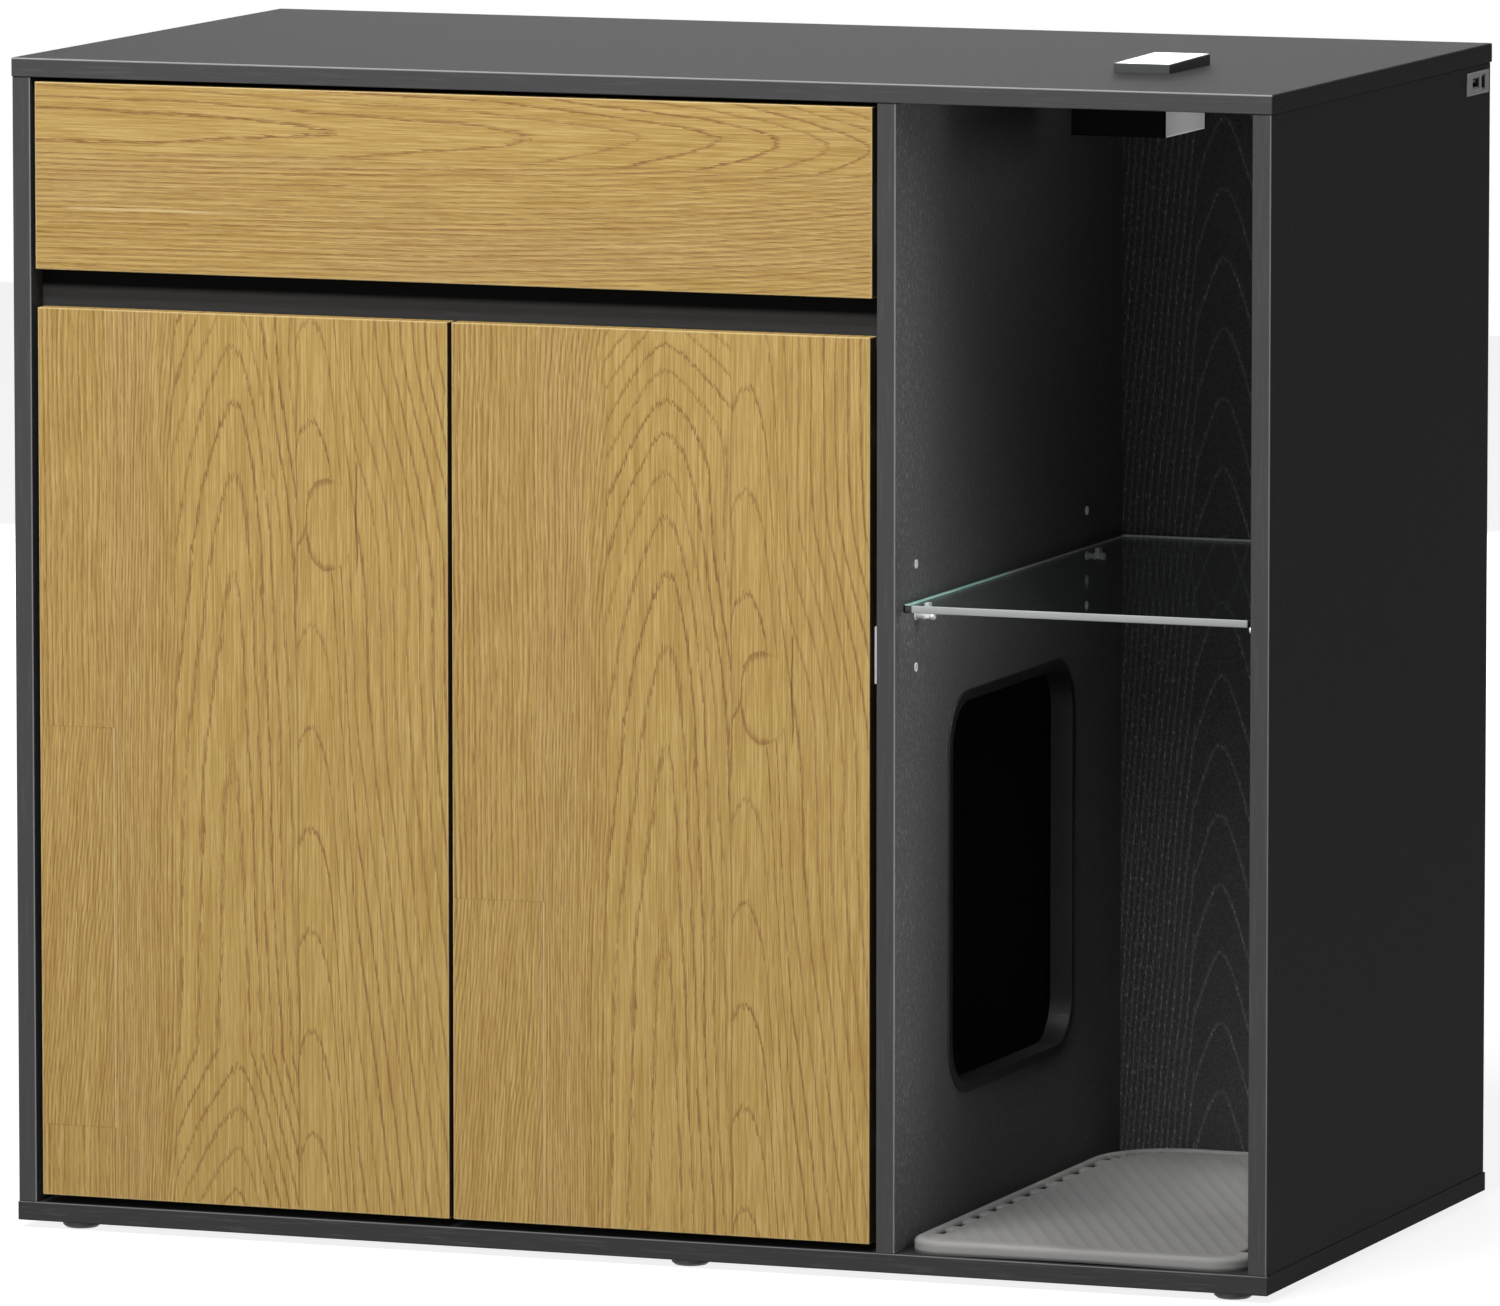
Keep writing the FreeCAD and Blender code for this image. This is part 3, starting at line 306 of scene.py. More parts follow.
def inMillimetres(tree, coords, acrossAxis, downAxis, acrossStart, downStart, acrossWay=1, downWay=-1):
    # X across the grain from acrossStart, Z along the grain from downStart
    parts = split(tree, coords)
    across = (parts[acrossAxis] - acrossStart) * (1000.0 * acrossWay)
    down = (parts[downAxis] - downStart) * (1000.0 * downWay)
    other = 3 - acrossAxis - downAxis
    return joined(tree, across, parts[other] * 1000.0, down)


def dress(material, *names):
    for name in names:
        item = nodes[name]
        if not item.material_slots:
            item.data.materials.append(material)
        for slot in item.material_slots:
            slot.material = material


oakFinish = {
    "base": srgb(181, 149, 83),
    "deep": srgb(163, 130, 67),
    "pale": srgb(198, 168, 104),
    "line": srgb(134, 90, 54),
    "pore": srgb(136, 100, 58),
    "crack": srgb(96, 62, 36),
    "pinkBand": srgb(187, 155, 106),
    # edge: the pale painted highlight along the arrises, and the colour of the glued joint line
    "edge": srgb(214, 192, 140),
    "gapShadeBand": srgb(70, 54, 34),           # painted shade on the upright side edges, dark brown for the shadow in the narrow gaps beside the fronts
    "roughness": 0.5,
}


def oak(name, node, figure):
    low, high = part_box(node)
    material, tree, shader, coords = newMaterial(name, Specular_IOR_Level=0.2)
    place, field, slope, pink, crack, joint = figure(tree, coords, low, high)
    wood = placed(tree, woodFigure, Place=place, Field=field, Slope=slope)
    color = mixed(tree, pink, oakFinish["base"], oakFinish["pinkBand"])
    color = mixed(tree, ramp(wire(tree, wood["Fibre"]), 0.52, 0.34), color, oakFinish["deep"])
    color = mixed(tree, ramp(wire(tree, wood["Fibre"]), 0.48, 0.66), color, oakFinish["pale"])
    color = mixed(tree, wire(tree, wood["Streak"]) * 0.4, color, oakFinish["pale"])
    color = mixed(tree, wire(tree, wood["Line"]) * 0.9, color, oakFinish["line"])
    color = mixed(tree, wire(tree, wood["Pores"]) * 0.4, color, oakFinish["pore"])
    color = mixed(tree, crack * 0.8, color, oakFinish["crack"])
    color = mixed(tree, joint * 0.6, color, oakFinish["edge"])
    # painted shade: both upright side faces turn dark brown, standing in for the shadow in the gaps
    for corner in (low, high):
        gapShadeMask = placed(tree, cornerLine, Place=coords, Point=tuple(corner), Axes=(1.0, 0.0, 0.0),
                          Width=0.0005)["Mask"]
        color = mixed(tree, gapShadeMask, color, oakFinish["gapShadeBand"])
    # painted highlight: pale along every arris of the front
    edge = placed(tree, arrisMask, Place=coords, Low=tuple(low), High=tuple(high), Width=0.0016)["Mask"]
    color = mixed(tree, wire(tree, edge) * 0.7, color, oakFinish["edge"])
    tree.links.new(color, shader.inputs["Base Color"])
    plug(tree, wire(tree, wood["Line"]) * 0.1 + wire(tree, wood["Pores"]) * 0.12 + oakFinish["roughness"],
         shader.inputs["Roughness"])
    bumped(tree, shader, (wire(tree, wood["Line"]) + wire(tree, wood["Pores"]) + crack) * -1.0, 0.00012)
    dress(material, node)


doorPrint = {
    # both doors carry one print, in mm from its own left and top
    "rightDoorShift": (0.0, 0.0), "leftDoorShift": (13.0, 120.0),
    "firstRings": 10.5, "ringReach": 190.0, "ringStart": 0.35,   # arches crowd at the top and thin out downwards
    "axis": 178.0, "roundness": 12.0, "legLeft": 14.0, "legRightHigh": 20.0, "legRightLow": 8.0,
    "straightGrain": 4.5, "reach": 48.0, "fade": 75.0,
    "lowArches": 700.0, "lowRing": 34.0,
    "wall": 232.0,                              # the straight line right of the main arches
    "sideAxis": 244.0, "sideRing": 80.0, "sideStart": 0.46, "sideLeg": 9.5, "sideRoundness": 30.0,
    "straightTo": 150.0, "knotGap": 0.3,        # the knot's outline stays open on its right
    "knot": (258.0, 282.0), "knotReach": (20.0, 37.0), "knotRings": 1.0, "knotPush": 16.0,
    "pinkFrom": 66.0, "pinkTo": 106.0, "pinkShare": 0.5,
    "crackAt": 282.0, "crackFrom": 236.0, "crackTo": 326.0,
    "joint": 75.0, "jointFrom": 450.0, "jointTo": 767.0,
}


def doorFigure(shift):
    def figure(tree, coords, low, high):
        across, down = shift
        plan = doorPrint
        place = inMillimetres(tree, coords, 0, 2, low.x - across / 1000, high.z + down / 1000)
        x, y, z = split(tree, place)
        fading = (z * (-1.0 / plan["ringReach"])).op("EXPONENT")
        lower = (z - plan["lowArches"]).op("MAXIMUM", 0.0)
        drop = plan["firstRings"] * (1.0 - fading) + lower / plan["lowRing"] + plan["ringStart"]
        rate = fading * (plan["firstRings"] / plan["ringReach"]) \
            + z.op("GREATER_THAN", plan["lowArches"]) / plan["lowRing"]
        rightRate = ramp(z, 60.0, 190.0) * (1.0 / plan["legRightLow"] - 1.0 / plan["legRightHigh"]) \
            + 1.0 / plan["legRightHigh"]
        main = placed(tree, growthRings, Place=place, Drop=drop, DropRate=rate, Axis=plan["axis"],
                      Roundness=plan["roundness"], LeftRate=1.0 / plan["legLeft"], RightRate=rightRate,
                      FarRate=1.0 / plan["straightGrain"], Reach=plan["reach"], Fade=plan["fade"], Bend=0.6,
                      Ragged=0.45)
        # the knot pushes the grain on its right aside
        offKnot = (z - plan["knot"][1]) / 110.0
        pushed = (offKnot * offKnot * -1.0).op("EXPONENT") * ramp(x, plan["sideAxis"], 300.0) * plan["knotPush"]
        pushedPlace = joined(tree, x - pushed, y, z)
        # right of the side arches the grain runs straight down as far as straightTo, and only then slants
        upright = z.op("MINIMUM", plan["straightTo"]) * ramp(x, plan["sideAxis"] + 12.0, plan["sideAxis"] + 40.0)
        side = placed(tree, growthRings, Place=pushedPlace,
                      Drop=(z - upright) / plan["sideRing"] + plan["sideStart"],
                      DropRate=1.0 / plan["sideRing"], Axis=plan["sideAxis"], Roundness=plan["sideRoundness"],
                      LeftRate=1.0 / plan["legLeft"], RightRate=1.0 / plan["sideLeg"], FarRate=0.1, Reach=400.0,
                      Fade=10.0, Bend=0.4, Ragged=0.2)
        wander = noise(tree, place, (0.02, 0.02, 0.02), 3.0, shift=71.0) * 7.0 - 3.5
        pastWall = ramp(x + wander, plan["wall"] - 0.4, plan["wall"] + 0.4)
        field = wire(tree, main["Field"]) + pastWall * (wire(tree, side["Field"]) - wire(tree, main["Field"]))
        slope = wire(tree, main["Slope"]) + pastWall * (wire(tree, side["Slope"]) - wire(tree, main["Slope"]))
        # inside the knot's outline the rings are ellipses
        uneven = noise(tree, place, (0.12, 0.1, 0.05), 3.0, shift=91.0) * 14.0 - 7.0
        knotX = (x - plan["knot"][0] + uneven) / plan["knotReach"][0]
        knotZ = (z - plan["knot"][1]) / plan["knotReach"][1]
        knotOut = (knotX * knotX + knotZ * knotZ).op("SQRT")
        inKnot = ramp(knotOut, 1.02, 0.98)
        opened = ramp(knotX, 0.1, 0.7) * plan["knotGap"]
        field = field + inKnot * (knotOut * plan["knotRings"] - plan["knotRings"] + 0.99 - opened - field)
        slope = slope + inKnot * (0.07 - slope)
        # a strip of another stave, its grain aslant, left of the glued joint
        leftOfJoint = ramp(x, plan["joint"] + 0.3, plan["joint"] - 0.3)
        jointed = ramp(z, plan["jointFrom"] - 1.0, plan["jointFrom"]) * ramp(z, plan["jointTo"], plan["jointTo"] - 1.0)
        stave = leftOfJoint * jointed
        slanted = x / 3.1 + z / 34.0 + noise(tree, place, (0.05, 0.02, 0.01), 2.0, shift=61.0) * 3.0
        field = field + stave * (slanted - field)
        jointLine = ramp((x - plan["joint"] - 0.9).op("ABSOLUTE"), 0.9, 0.3) * jointed
        pink = ramp(x, plan["pinkFrom"], plan["pinkFrom"] + 8.0) * ramp(x, plan["pinkTo"] + 12.0, plan["pinkTo"])
        pink = pink * ramp(noise(tree, place, (0.5, 0.2, 0.01), 2.0, shift=83.0), 0.35, 0.6) * plan["pinkShare"]
        offCrack = (x + wander - plan["crackAt"]).op("ABSOLUTE")
        crack = ramp(offCrack, 0.9, 0.3) * ramp(z, plan["crackFrom"] - 6.0, plan["crackFrom"]) \
            * ramp(z, plan["crackTo"], plan["crackTo"] - 20.0)
        wallLine = ramp((x + wander - plan["wall"]).op("ABSOLUTE"), 1.1, 0.3) * 0.45 * ramp(z, 30.0, 60.0)
        return place, field, slope, pink, crack.op("MAXIMUM", wallLine), jointLine
    return figure


drawerPrint = {
    # in mm from the drawer front's top and right
    "firstRings": 7.0, "ringReach": 220.0, "ringStart": 0.9,
    "axis": 32.0, "roundness": 10.0, "legAbove": 8.0, "legBelow": 13.0,
    "closeFrom": 52.0, "closeGrain": 6.0,
    "jointDown": 98.0, "jointFrom": 510.0, "jointTo": 678.0,
}


def drawerFigure(tree, coords, low, high):
    # the grain lies flat and the arches point to the right
    plan = drawerPrint
    place = inMillimetres(tree, coords, 2, 0, high.z, high.x, -1, -1)
    x, y, z = split(tree, place)
    fading = (z * (-1.0 / plan["ringReach"])).op("EXPONENT")
    main = placed(tree, growthRings, Place=place, Drop=plan["firstRings"] * (1.0 - fading) + plan["ringStart"],
                  DropRate=fading * (plan["firstRings"] / plan["ringReach"]), Axis=plan["axis"],
                  Roundness=plan["roundness"], LeftRate=1.0 / plan["legAbove"], RightRate=1.0 / plan["legBelow"],
                  FarRate=0.1, Reach=400.0, Fade=10.0, Bend=0.6, Ragged=0.3)
    # the grain lies closer towards the foot
    field = wire(tree, main["Field"]) - (x - plan["closeFrom"]).op("MAXIMUM", 0.0) / plan["closeGrain"]
    slope = wire(tree, main["Slope"]) + x.op("GREATER_THAN", plan["closeFrom"]) / plan["closeGrain"]
    band = ramp(noise(tree, place, (0.02, 0.02, 0.0025), 1.0, shift=31.0), 0.45, 0.65)
    offJoint = (x - plan["jointDown"]).op("ABSOLUTE")
    joint = ramp(offJoint, 1.3, 0.4) * ramp(z, plan["jointFrom"], plan["jointFrom"] + 60.0) \
        * ramp(z, plan["jointTo"], plan["jointTo"] - 20.0)
    return place, field, slope, band * 0.4, band * 0.0, joint


oak("rightDoorOak", "right_door", doorFigure(doorPrint["rightDoorShift"]))
oak("leftDoorOak", "left_door", doorFigure(doorPrint["leftDoorShift"]))
oak("drawerOak", "drawer_front", drawerFigure)
print("oak fronts finished")

blackFinish = {
    "roughness": 0.7,
    "band": srgb(74, 74, 75),              # the plain strip glued on the boards' front edges
    # the bottom board's front edge strip, painted darker as shade low on the cabinet
    "lowBandShaded": srgb(62, 62, 63),
    # painted highlights: pale lines along the boards' front arrises, for the light their rounded edges catch
    "arris": srgb(150, 150, 152), "topArrisHighlight": srgb(172, 172, 173), "lowArrisHighlight": srgb(124, 124, 126),
    # near-black for the seams, and for the painted shadow on the finger rail
    "seamAndShadow": srgb(6, 6, 6),
    "railShade": (0.7425, 0.7485),         # heights between which the rail turns dead black, a painted shadow of the drawer front over the finger gap
}


def blackBoard(name, grain, deep=66, dash=110, axis=0.0, spacing=55.0, roundness=70.0, across=4.5,
               farAcross=10.0, reach=2000.0, lineShare=0.2, speckShare=0.3, speckLightFrom=None,
               band=blackFinish["band"], frontBand=True, lines=(), shade=None):
    low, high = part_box(name)
    material, tree, shader, coords = newMaterial(name + "Black", Specular_IOR_Level=0.04)
    axes = {"x": (1, 0), "y": (0, 1), "z": (0, 2), "zOnY": (1, 2), "xOnZ": (2, 0)}[grain]
    place = inMillimetres(tree, coords, axes[0], axes[1], low[axes[0]], high[axes[1]])
    x, y, z = split(tree, place)
    main = placed(tree, growthRings, Place=place, Drop=z / spacing, DropRate=1.0 / spacing, Axis=axis,
                  Roundness=roundness, LeftRate=1.0 / across, RightRate=1.0 / across, FarRate=1.0 / farAcross,
                  Reach=reach, Fade=300.0, Bend=0.35, Ragged=0.2)
    wood = placed(tree, woodFigure, Place=place, Field=main["Field"], Slope=main["Slope"])
    specks = wire(tree, wood["Specks"])
    if speckLightFrom:
        # the pale specks crowd at one edge and thin out, grain that is also a painted pool of light at that edge: mm
        # across where they are thick, and where they have thinned out
        specks = specks * (ramp(x, speckLightFrom[1], speckLightFrom[0]) * 0.8 + 0.2)
    grainShow = 1.0
    if frontBand:
        front = placed(tree, cornerLine, Place=coords, Point=tuple(low), Axes=(0.0, 1.0, 0.0), Width=0.0006)["Mask"]
        grainShow = 1.0 - wire(tree, front)
    fleck = noise(tree, coords, (800, 800, 800), 2.0)
    color = mixed(tree, ramp(fleck, 0.3, 0.7), srgb(deep - 8, deep - 8, deep - 7), srgb(deep + 8, deep + 8, deep + 9))
    pale = srgb(dash, dash, dash + 1)
    color = mixed(tree, wire(tree, wood["Dotted"]) * lineShare * grainShow, color, pale)
    color = mixed(tree, specks * speckShare * grainShow, color, pale)
    if frontBand:
        color = mixed(tree, front, color, band)
        color = mixed(tree, wire(tree, front) * ramp(wire(tree, wood["Fibre"]), 0.5, 0.7) * 0.3, color,
                      srgb(96, 96, 97))
    # painted shadow: the colour turns dead black above the given heights
    if shade:
        height = split(tree, coords)[2]
        color = mixed(tree, ramp(height, shade[0], shade[1]), color, blackFinish["seamAndShadow"])
    for point, counted, width, tint in lines:
        mask = placed(tree, cornerLine, Place=coords, Point=point, Axes=counted, Width=width)["Mask"]
        color = mixed(tree, mask, color, tint)
    tree.links.new(color, shader.inputs["Base Color"])
    plug(tree, fleck * 0.15 + (blackFinish["roughness"] - 0.07), shader.inputs["Roughness"])
    bumped(tree, shader, wire(tree, wood["Pores"]) * -1.0, 0.00008)
    dress(material, name)


# a painted highlight along a board's right front arris
def rightArrisHighlight(name, width=0.0014):
    low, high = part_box(name)
    return ((high.x, low.y, 0.0), (1.0, 1.0, 0.0), width, blackFinish["arris"])


# a painted highlight along a board's top front arris
def topArrisHighlight(name, tint="topArrisHighlight", width=0.0018):
    low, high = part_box(name)
    return ((0.0, low.y, high.z), (0.0, 1.0, 1.0), width, blackFinish[tint])


def headSeam(name, width=0.0012):
    low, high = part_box(name)
    return ((0.0, 0.0, high.z), (0.0, 0.0, 1.0), width, blackFinish["seamAndShadow"])


# painted light and shade: each board's grey is set to how bright it looks, the divider and right back board lighter,
# the top and outer right side darker
blackBoard("top_panel", "x", axis=200.0, deep=53, dash=62, lines=[topArrisHighlight("top_panel")])
blackBoard("bottom_panel", "x", axis=200.0, deep=48, dash=60, band=blackFinish["lowBandShaded"],
           lines=[topArrisHighlight("bottom_panel", "lowArrisHighlight", 0.0012)])
blackBoard("left_side_panel", "zOnY", axis=260.0, lines=[rightArrisHighlight("left_side_panel"), headSeam("left_side_panel")])
blackBoard("right_side_panel", "zOnY", axis=260.0, deep=49, dash=84, speckLightFrom=(20.0, 170.0),
           lines=[rightArrisHighlight("right_side_panel"), headSeam("right_side_panel")])
# the divider is painted lighter than the other boards, standing in for the light falling on it through the niche
blackBoard("divider_panel", "zOnY", deep=88, dash=165, axis=600.0, speckShare=0.32, speckLightFrom=(10.0, 110.0),
           lines=[rightArrisHighlight("divider_panel"), headSeam("divider_panel")])
blackBoard("left_back_panel", "z", deep=50, dash=58, axis=118.0, frontBand=False)
blackBoard("right_back_panel", "z", deep=61, dash=150, axis=90.0, spacing=56.0, roundness=12.0, across=15.0,
           farAcross=6.0, reach=22.0, lineShare=0.7, speckShare=0.3, speckLightFrom=(30.0, 75.0), frontBand=False)
blackBoard("finger_rail", "xOnZ", deep=74, dash=84, axis=30.0, shade=blackFinish["railShade"])
blackBoard("drawer_deck", "x", axis=200.0)
for boxBoard, boxGrain in (("drawer_left_side", "zOnY"), ("drawer_right_side", "zOnY"), ("drawer_back", "x"),
                           ("drawer_bottom", "x")):
    blackBoard(boxBoard, boxGrain, deep=60, axis=60.0)
print("black boards finished")


def plain(name, color, roughness=0.5, metallic=0.0, speckle=400.0, change=0.12, height=0.00003,
          highlightedNode=None, edgeHighlight=srgb(225, 225, 225), patches=(), **settings):
    # moulded plastic or metal: slow colour drift, fine speckle, and on one named piece pale edges, a painted highlight.
    # patches are (point, axes, reach, colour) of soft spots or faces in another colour
    material, tree, shader, coords = newMaterial(name, Metallic=metallic, **settings)
    slow = noise(tree, coords, (14, 14, 14), 3.0)
    fine = noise(tree, coords, (speckle, speckle, speckle), 2.0)
    pale = tuple(min(1.0, part * (1.0 + change)) for part in color[:3]) + (1.0,)
    deep = tuple(part * (1.0 - change) for part in color[:3]) + (1.0,)
    tint = mixed(tree, slow * 0.6 + fine * 0.4, deep, pale)
    for point, counted, reach, spot in patches:
        mask = placed(tree, cornerLine, Place=coords, Point=point, Axes=counted, Width=reach)["Mask"]
        tint = mixed(tree, mask, tint, spot)
    # painted highlight: pale along every arris of the named piece
    if highlightedNode:
        low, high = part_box(highlightedNode)
        edge = placed(tree, arrisMask, Place=coords, Low=tuple(low), High=tuple(high), Width=0.0016)["Mask"]
        tint = mixed(tree, edge, tint, edgeHighlight)
    tree.links.new(tint, shader.inputs["Base Color"])
    plug(tree, fine * 0.16 + (roughness - 0.08), shader.inputs["Roughness"])
    bumped(tree, shader, fine, height)
    return material


zinc = plain("brightZinc", srgb(178, 180, 182), 0.32, 1.0)
nickel = plain("nickelPlate", srgb(196, 194, 188), 0.22, 1.0)
beech = plain("beechDowel", srgb(205, 170, 120), 0.6)
greyMetal = plain("greyMetal", srgb(150, 152, 155), 0.4, 1.0)
darkMetal = plain("darkMetal", srgb(70, 72, 75), 0.4, 1.0)
blackPlastic = plain("blackPlastic", srgb(30, 30, 31), 0.45)
trimPlastic = plain("trimPlastic", srgb(22, 22, 23), 0.5)
greyPlastic = plain("greyPlastic", srgb(150, 150, 151), 0.45)
lightPlastic = plain("lightPlastic", srgb(196, 197, 199), 0.42)
whitePlastic = plain("whitePlastic", srgb(224, 224, 222), 0.4)
clearRubber = plain("clearRubber", srgb(205, 206, 204), 0.35)
padWhite = plain("padFace", srgb(238, 238, 240), 0.3)

slotFinish = {"zinc": zinc, "nickel": nickel, "beech": beech, "grey_metal": greyMetal, "dark_metal": darkMetal,
              "black_plastic": blackPlastic, "grey_plastic": greyPlastic, "light_plastic": lightPlastic,
              "white_plastic": whitePlastic, "clear_rubber": clearRubber, "pad_face": padWhite}
for entry in frame["record"]["subparts"]:
    if entry["material_slot"] in slotFinish:
        dress(slotFinish[entry["material_slot"]], entry["node"])
faceLow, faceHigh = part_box("pad_face")
faceSpots = [((faceLow.x + 0.012, faceLow.y + 0.014, 0.0), (1.0, 1.0, 0.0), 0.013, srgb(238, 208, 204)),
             ((faceLow.x + 0.021, faceLow.y + 0.034, 0.0), (1.0, 1.0, 0.0), 0.014, srgb(196, 224, 214)),
             ((faceHigh.x - 0.010, faceLow.y + 0.026, 0.0), (1.0, 1.0, 0.0), 0.017, srgb(200, 192, 232))]
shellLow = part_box("pad_shell")[0]
capBlack = plain("capBlack", srgb(5, 5, 6), 0.55, Specular_IOR_Level=0.02)
moduleGrey = plain("moduleGrey", srgb(186, 186, 186), 0.5, highlightedNode="module_sleeve")
plateGrey = plain("plateGrey", srgb(176, 176, 180), 0.5)
# painted reflection: the black shell's front face is grey, standing in for the pale floor mirrored in it
padBlack = plain("padShell", srgb(14, 14, 15), 0.3, Specular_IOR_Level=0.15,
                 patches=[((0.0, shellLow.y, 0.0), (0.0, 1.0, 0.0), 0.0006, srgb(74, 76, 75))])
padSpots = plain("padFaceSpots", srgb(236, 236, 238), 0.3, change=0.03, patches=faceSpots)
portGrey = plain("portGrey", srgb(140, 141, 142), 0.45, highlightedNode="port_plate")
pinMetal = plain("pinMetal", srgb(196, 196, 196), 0.35, 0.4)
# painted light: the pin sleeves' white is brighter than whitePlastic, making up for the shade they sit in
sleeveWhite = plain("sleeveWhite", srgb(246, 246, 244), 0.4)
dress(trimPlastic, "entry_trim_front", "entry_trim_rear")
dress(capBlack, "module_end_caps", "door_catches", "left_strike_plate", "right_strike_plate")
dress(moduleGrey, "module_sleeve")
dress(plateGrey, "divider_edge_plate")
dress(padBlack, "pad_shell")
dress(padSpots, "pad_face")
dress(portGrey, "port_plate")
dress(pinMetal, "shelf_pins")
dress(sleeveWhite, "pin_sleeves")
print("fittings finished")


# ---- the litter mat ----

mat = {
    "frontRadius": 0.030, "rearRadius": 0.070,
    "spacing": 0.0024,
    "edgeRound": 0.0042,                       # how far the top rolls over at the rim
    "rimWidth": 0.008, "rimHeight": 0.0012,
    "slotStart": 0.0095, "slotEnd": 0.0172, "slotDepth": 0.006, "fieldStart": 0.020, "fieldFull": 0.026,
    "sideSlotPitch": 0.039, "sideSlotLength": 0.019,
    "rearSlotPitch": 0.017, "rearSlotLength": 0.0135,
    "stripePitch": 0.0125, "stripeHeight": 0.0008, "stripeWay": (0.891, 0.454),
    "arch": 0.0012,                            # the front lip's lift off the board between its corners
}


def meshFromGrids(name, grids):
    # each grid is rows x columns x 3; quads join neighbours, and doubles are merged afterwards
    points, faces, start = [], [], 0
    for grid, flip in grids:
        rows, columns = grid.shape[:2]
        index = start + np.arange(rows * columns).reshape(rows, columns)
        quads = np.stack([index[:-1, :-1], index[1:, :-1], index[1:, 1:], index[:-1, 1:]], -1).reshape(-1, 4)
        faces.append(quads[:, ::-1] if flip else quads)
        points.append(grid.reshape(-1, 3))
        start += rows * columns
    mesh = bpy.data.meshes.new(name)
    points = np.concatenate(points)
    faces = np.concatenate(faces)
    mesh.vertices.add(len(points))
    mesh.vertices.foreach_set("co", points.ravel())
    mesh.loops.add(faces.size)
    mesh.loops.foreach_set("vertex_index", faces.ravel())
    mesh.polygons.add(len(faces))
    mesh.polygons.foreach_set("loop_start", np.arange(0, faces.size, 4))
    mesh.polygons.foreach_set("loop_total", np.full(len(faces), 4))
    mesh.update(calc_edges=True)
    mesh.validate()
    item = bpy.data.objects.new(name, mesh)
    bpy.context.scene.collection.objects.link(item)
    return item


def closeSeams(item, distance=1e-6):
    import bmesh
    work = bmesh.new()
    work.from_mesh(item.data)
    bmesh.ops.remove_doubles(work, verts=work.verts, dist=distance)
    bmesh.ops.dissolve_degenerate(work, dist=distance, edges=work.edges)
    bmesh.ops.recalc_face_normals(work, faces=work.faces)
    work.to_mesh(item.data)
    work.free()
    item.data.shade_smooth()


def rimSteps(length, spacing):
    # grid lines: close together near both rims, evenly spaced between
    near = np.array([0, 0.3, 0.8, 1.5, 2.4, 3.4, 4.5, 6.0, 7.6, 8.9, 9.5, 10.0, 11.5, 13.5, 15.5, 16.7, 17.3, 17.8, 20])
    near = near / 1000.0
    count = int(round((length - 2 * near[-1]) / spacing))
    between = np.linspace(near[-1], length - near[-1], count + 1)
    return np.concatenate([near[:-1], between, (length - near[:-1])[::-1]])


def roundedGrid(low, high, frontRadius, rearRadius, spacing):
    # a square grid whose four corner squares are bent into quarter discs:
    # x = u * sqrt(1 - v * v / 2), y = v * sqrt(1 - u * u / 2), with u and v from the corner's centre
    x = rimSteps(high.x - low.x, spacing) + low.x
    y = rimSteps(high.y - low.y, spacing) + low.y
    y, x = np.meshgrid(y, x, indexing="ij")
    bentX, bentY = x.copy(), y.copy()
    for sideX in (-1, 1):
        for sideY in (-1, 1):
            radius = frontRadius if sideY < 0 else rearRadius
            centreX = (high.x if sideX > 0 else low.x) - sideX * radius
            centreY = (high.y if sideY > 0 else low.y) - sideY * radius
            u = (x - centreX) / radius * sideX
            v = (y - centreY) / radius * sideY
            inside = (u > 0) & (v > 0)
            newX = centreX + sideX * radius * u * np.sqrt(np.maximum(0, 1 - v * v / 2))
            newY = centreY + sideY * radius * v * np.sqrt(np.maximum(0, 1 - u * u / 2))
            bentX[inside] = newX[inside]
            bentY[inside] = newY[inside]
    return bentX, bentY


def rimDistance(x, y, low, high, frontRadius, rearRadius):
    # distance in from the rounded rectangle's edge, and the length run along that edge
    radius = np.where(y < (low.y + high.y) / 2, frontRadius, rearRadius)
    centreX, centreY = (low.x + high.x) / 2, (low.y + high.y) / 2
    gapX = np.abs(x - centreX) - ((high.x - low.x) / 2 - radius)
    gapY = np.abs(y - centreY) - ((high.y - low.y) / 2 - radius)
    outside = np.hypot(np.maximum(gapX, 0), np.maximum(gapY, 0))
    return radius - outside - np.minimum(np.maximum(gapX, gapY), 0), gapX, gapY


def smoothStep(value, start, end):
    share = np.clip((value - start) / (end - start), 0, 1)
    return share * share * (3 - 2 * share)


def dashes(along, pitch, length, soft=0.0012):
    # 1 inside each dash of that length, 0 between, with soft ends
    nearest = np.abs((along / pitch) % 1.0 - 0.5) * pitch
    return 1 - smoothStep(nearest, length / 2 - soft, length / 2 + soft)


def slotDepths(x, y, low, high):
    # how deep the row of slots is cut at each point, and whether the point lies in their groove, both 0 to 1
    inward, gapX, gapY = rimDistance(x, y, low, high, mat["frontRadius"], mat["rearRadius"])
    sideDash = dashes(y - low.y, mat["sideSlotPitch"], mat["sideSlotLength"])
    rearDash = dashes(x - low.x, mat["rearSlotPitch"], mat["rearSlotLength"])
    turned = np.arctan2(np.maximum(gapY, 1e-6), np.maximum(gapX, 1e-6)) * mat["rearRadius"]
    cornerDash = dashes(turned, mat["rearSlotPitch"], mat["rearSlotLength"])
    atRear = (gapY > gapX) & (y > 0)
    inCorner = (gapX > 0) & (gapY > 0)
    dash = np.where(inCorner, cornerDash, np.where(atRear, rearDash, sideDash))
    dash = dash * smoothStep(y, low.y + 0.026, low.y + 0.032)
    groove = smoothStep(inward, mat["slotStart"] - 0.0005, mat["slotStart"] + 0.0004) \
        - smoothStep(inward, mat["slotEnd"] - 0.0004, mat["slotEnd"] + 0.0005)
    return groove * dash, groove


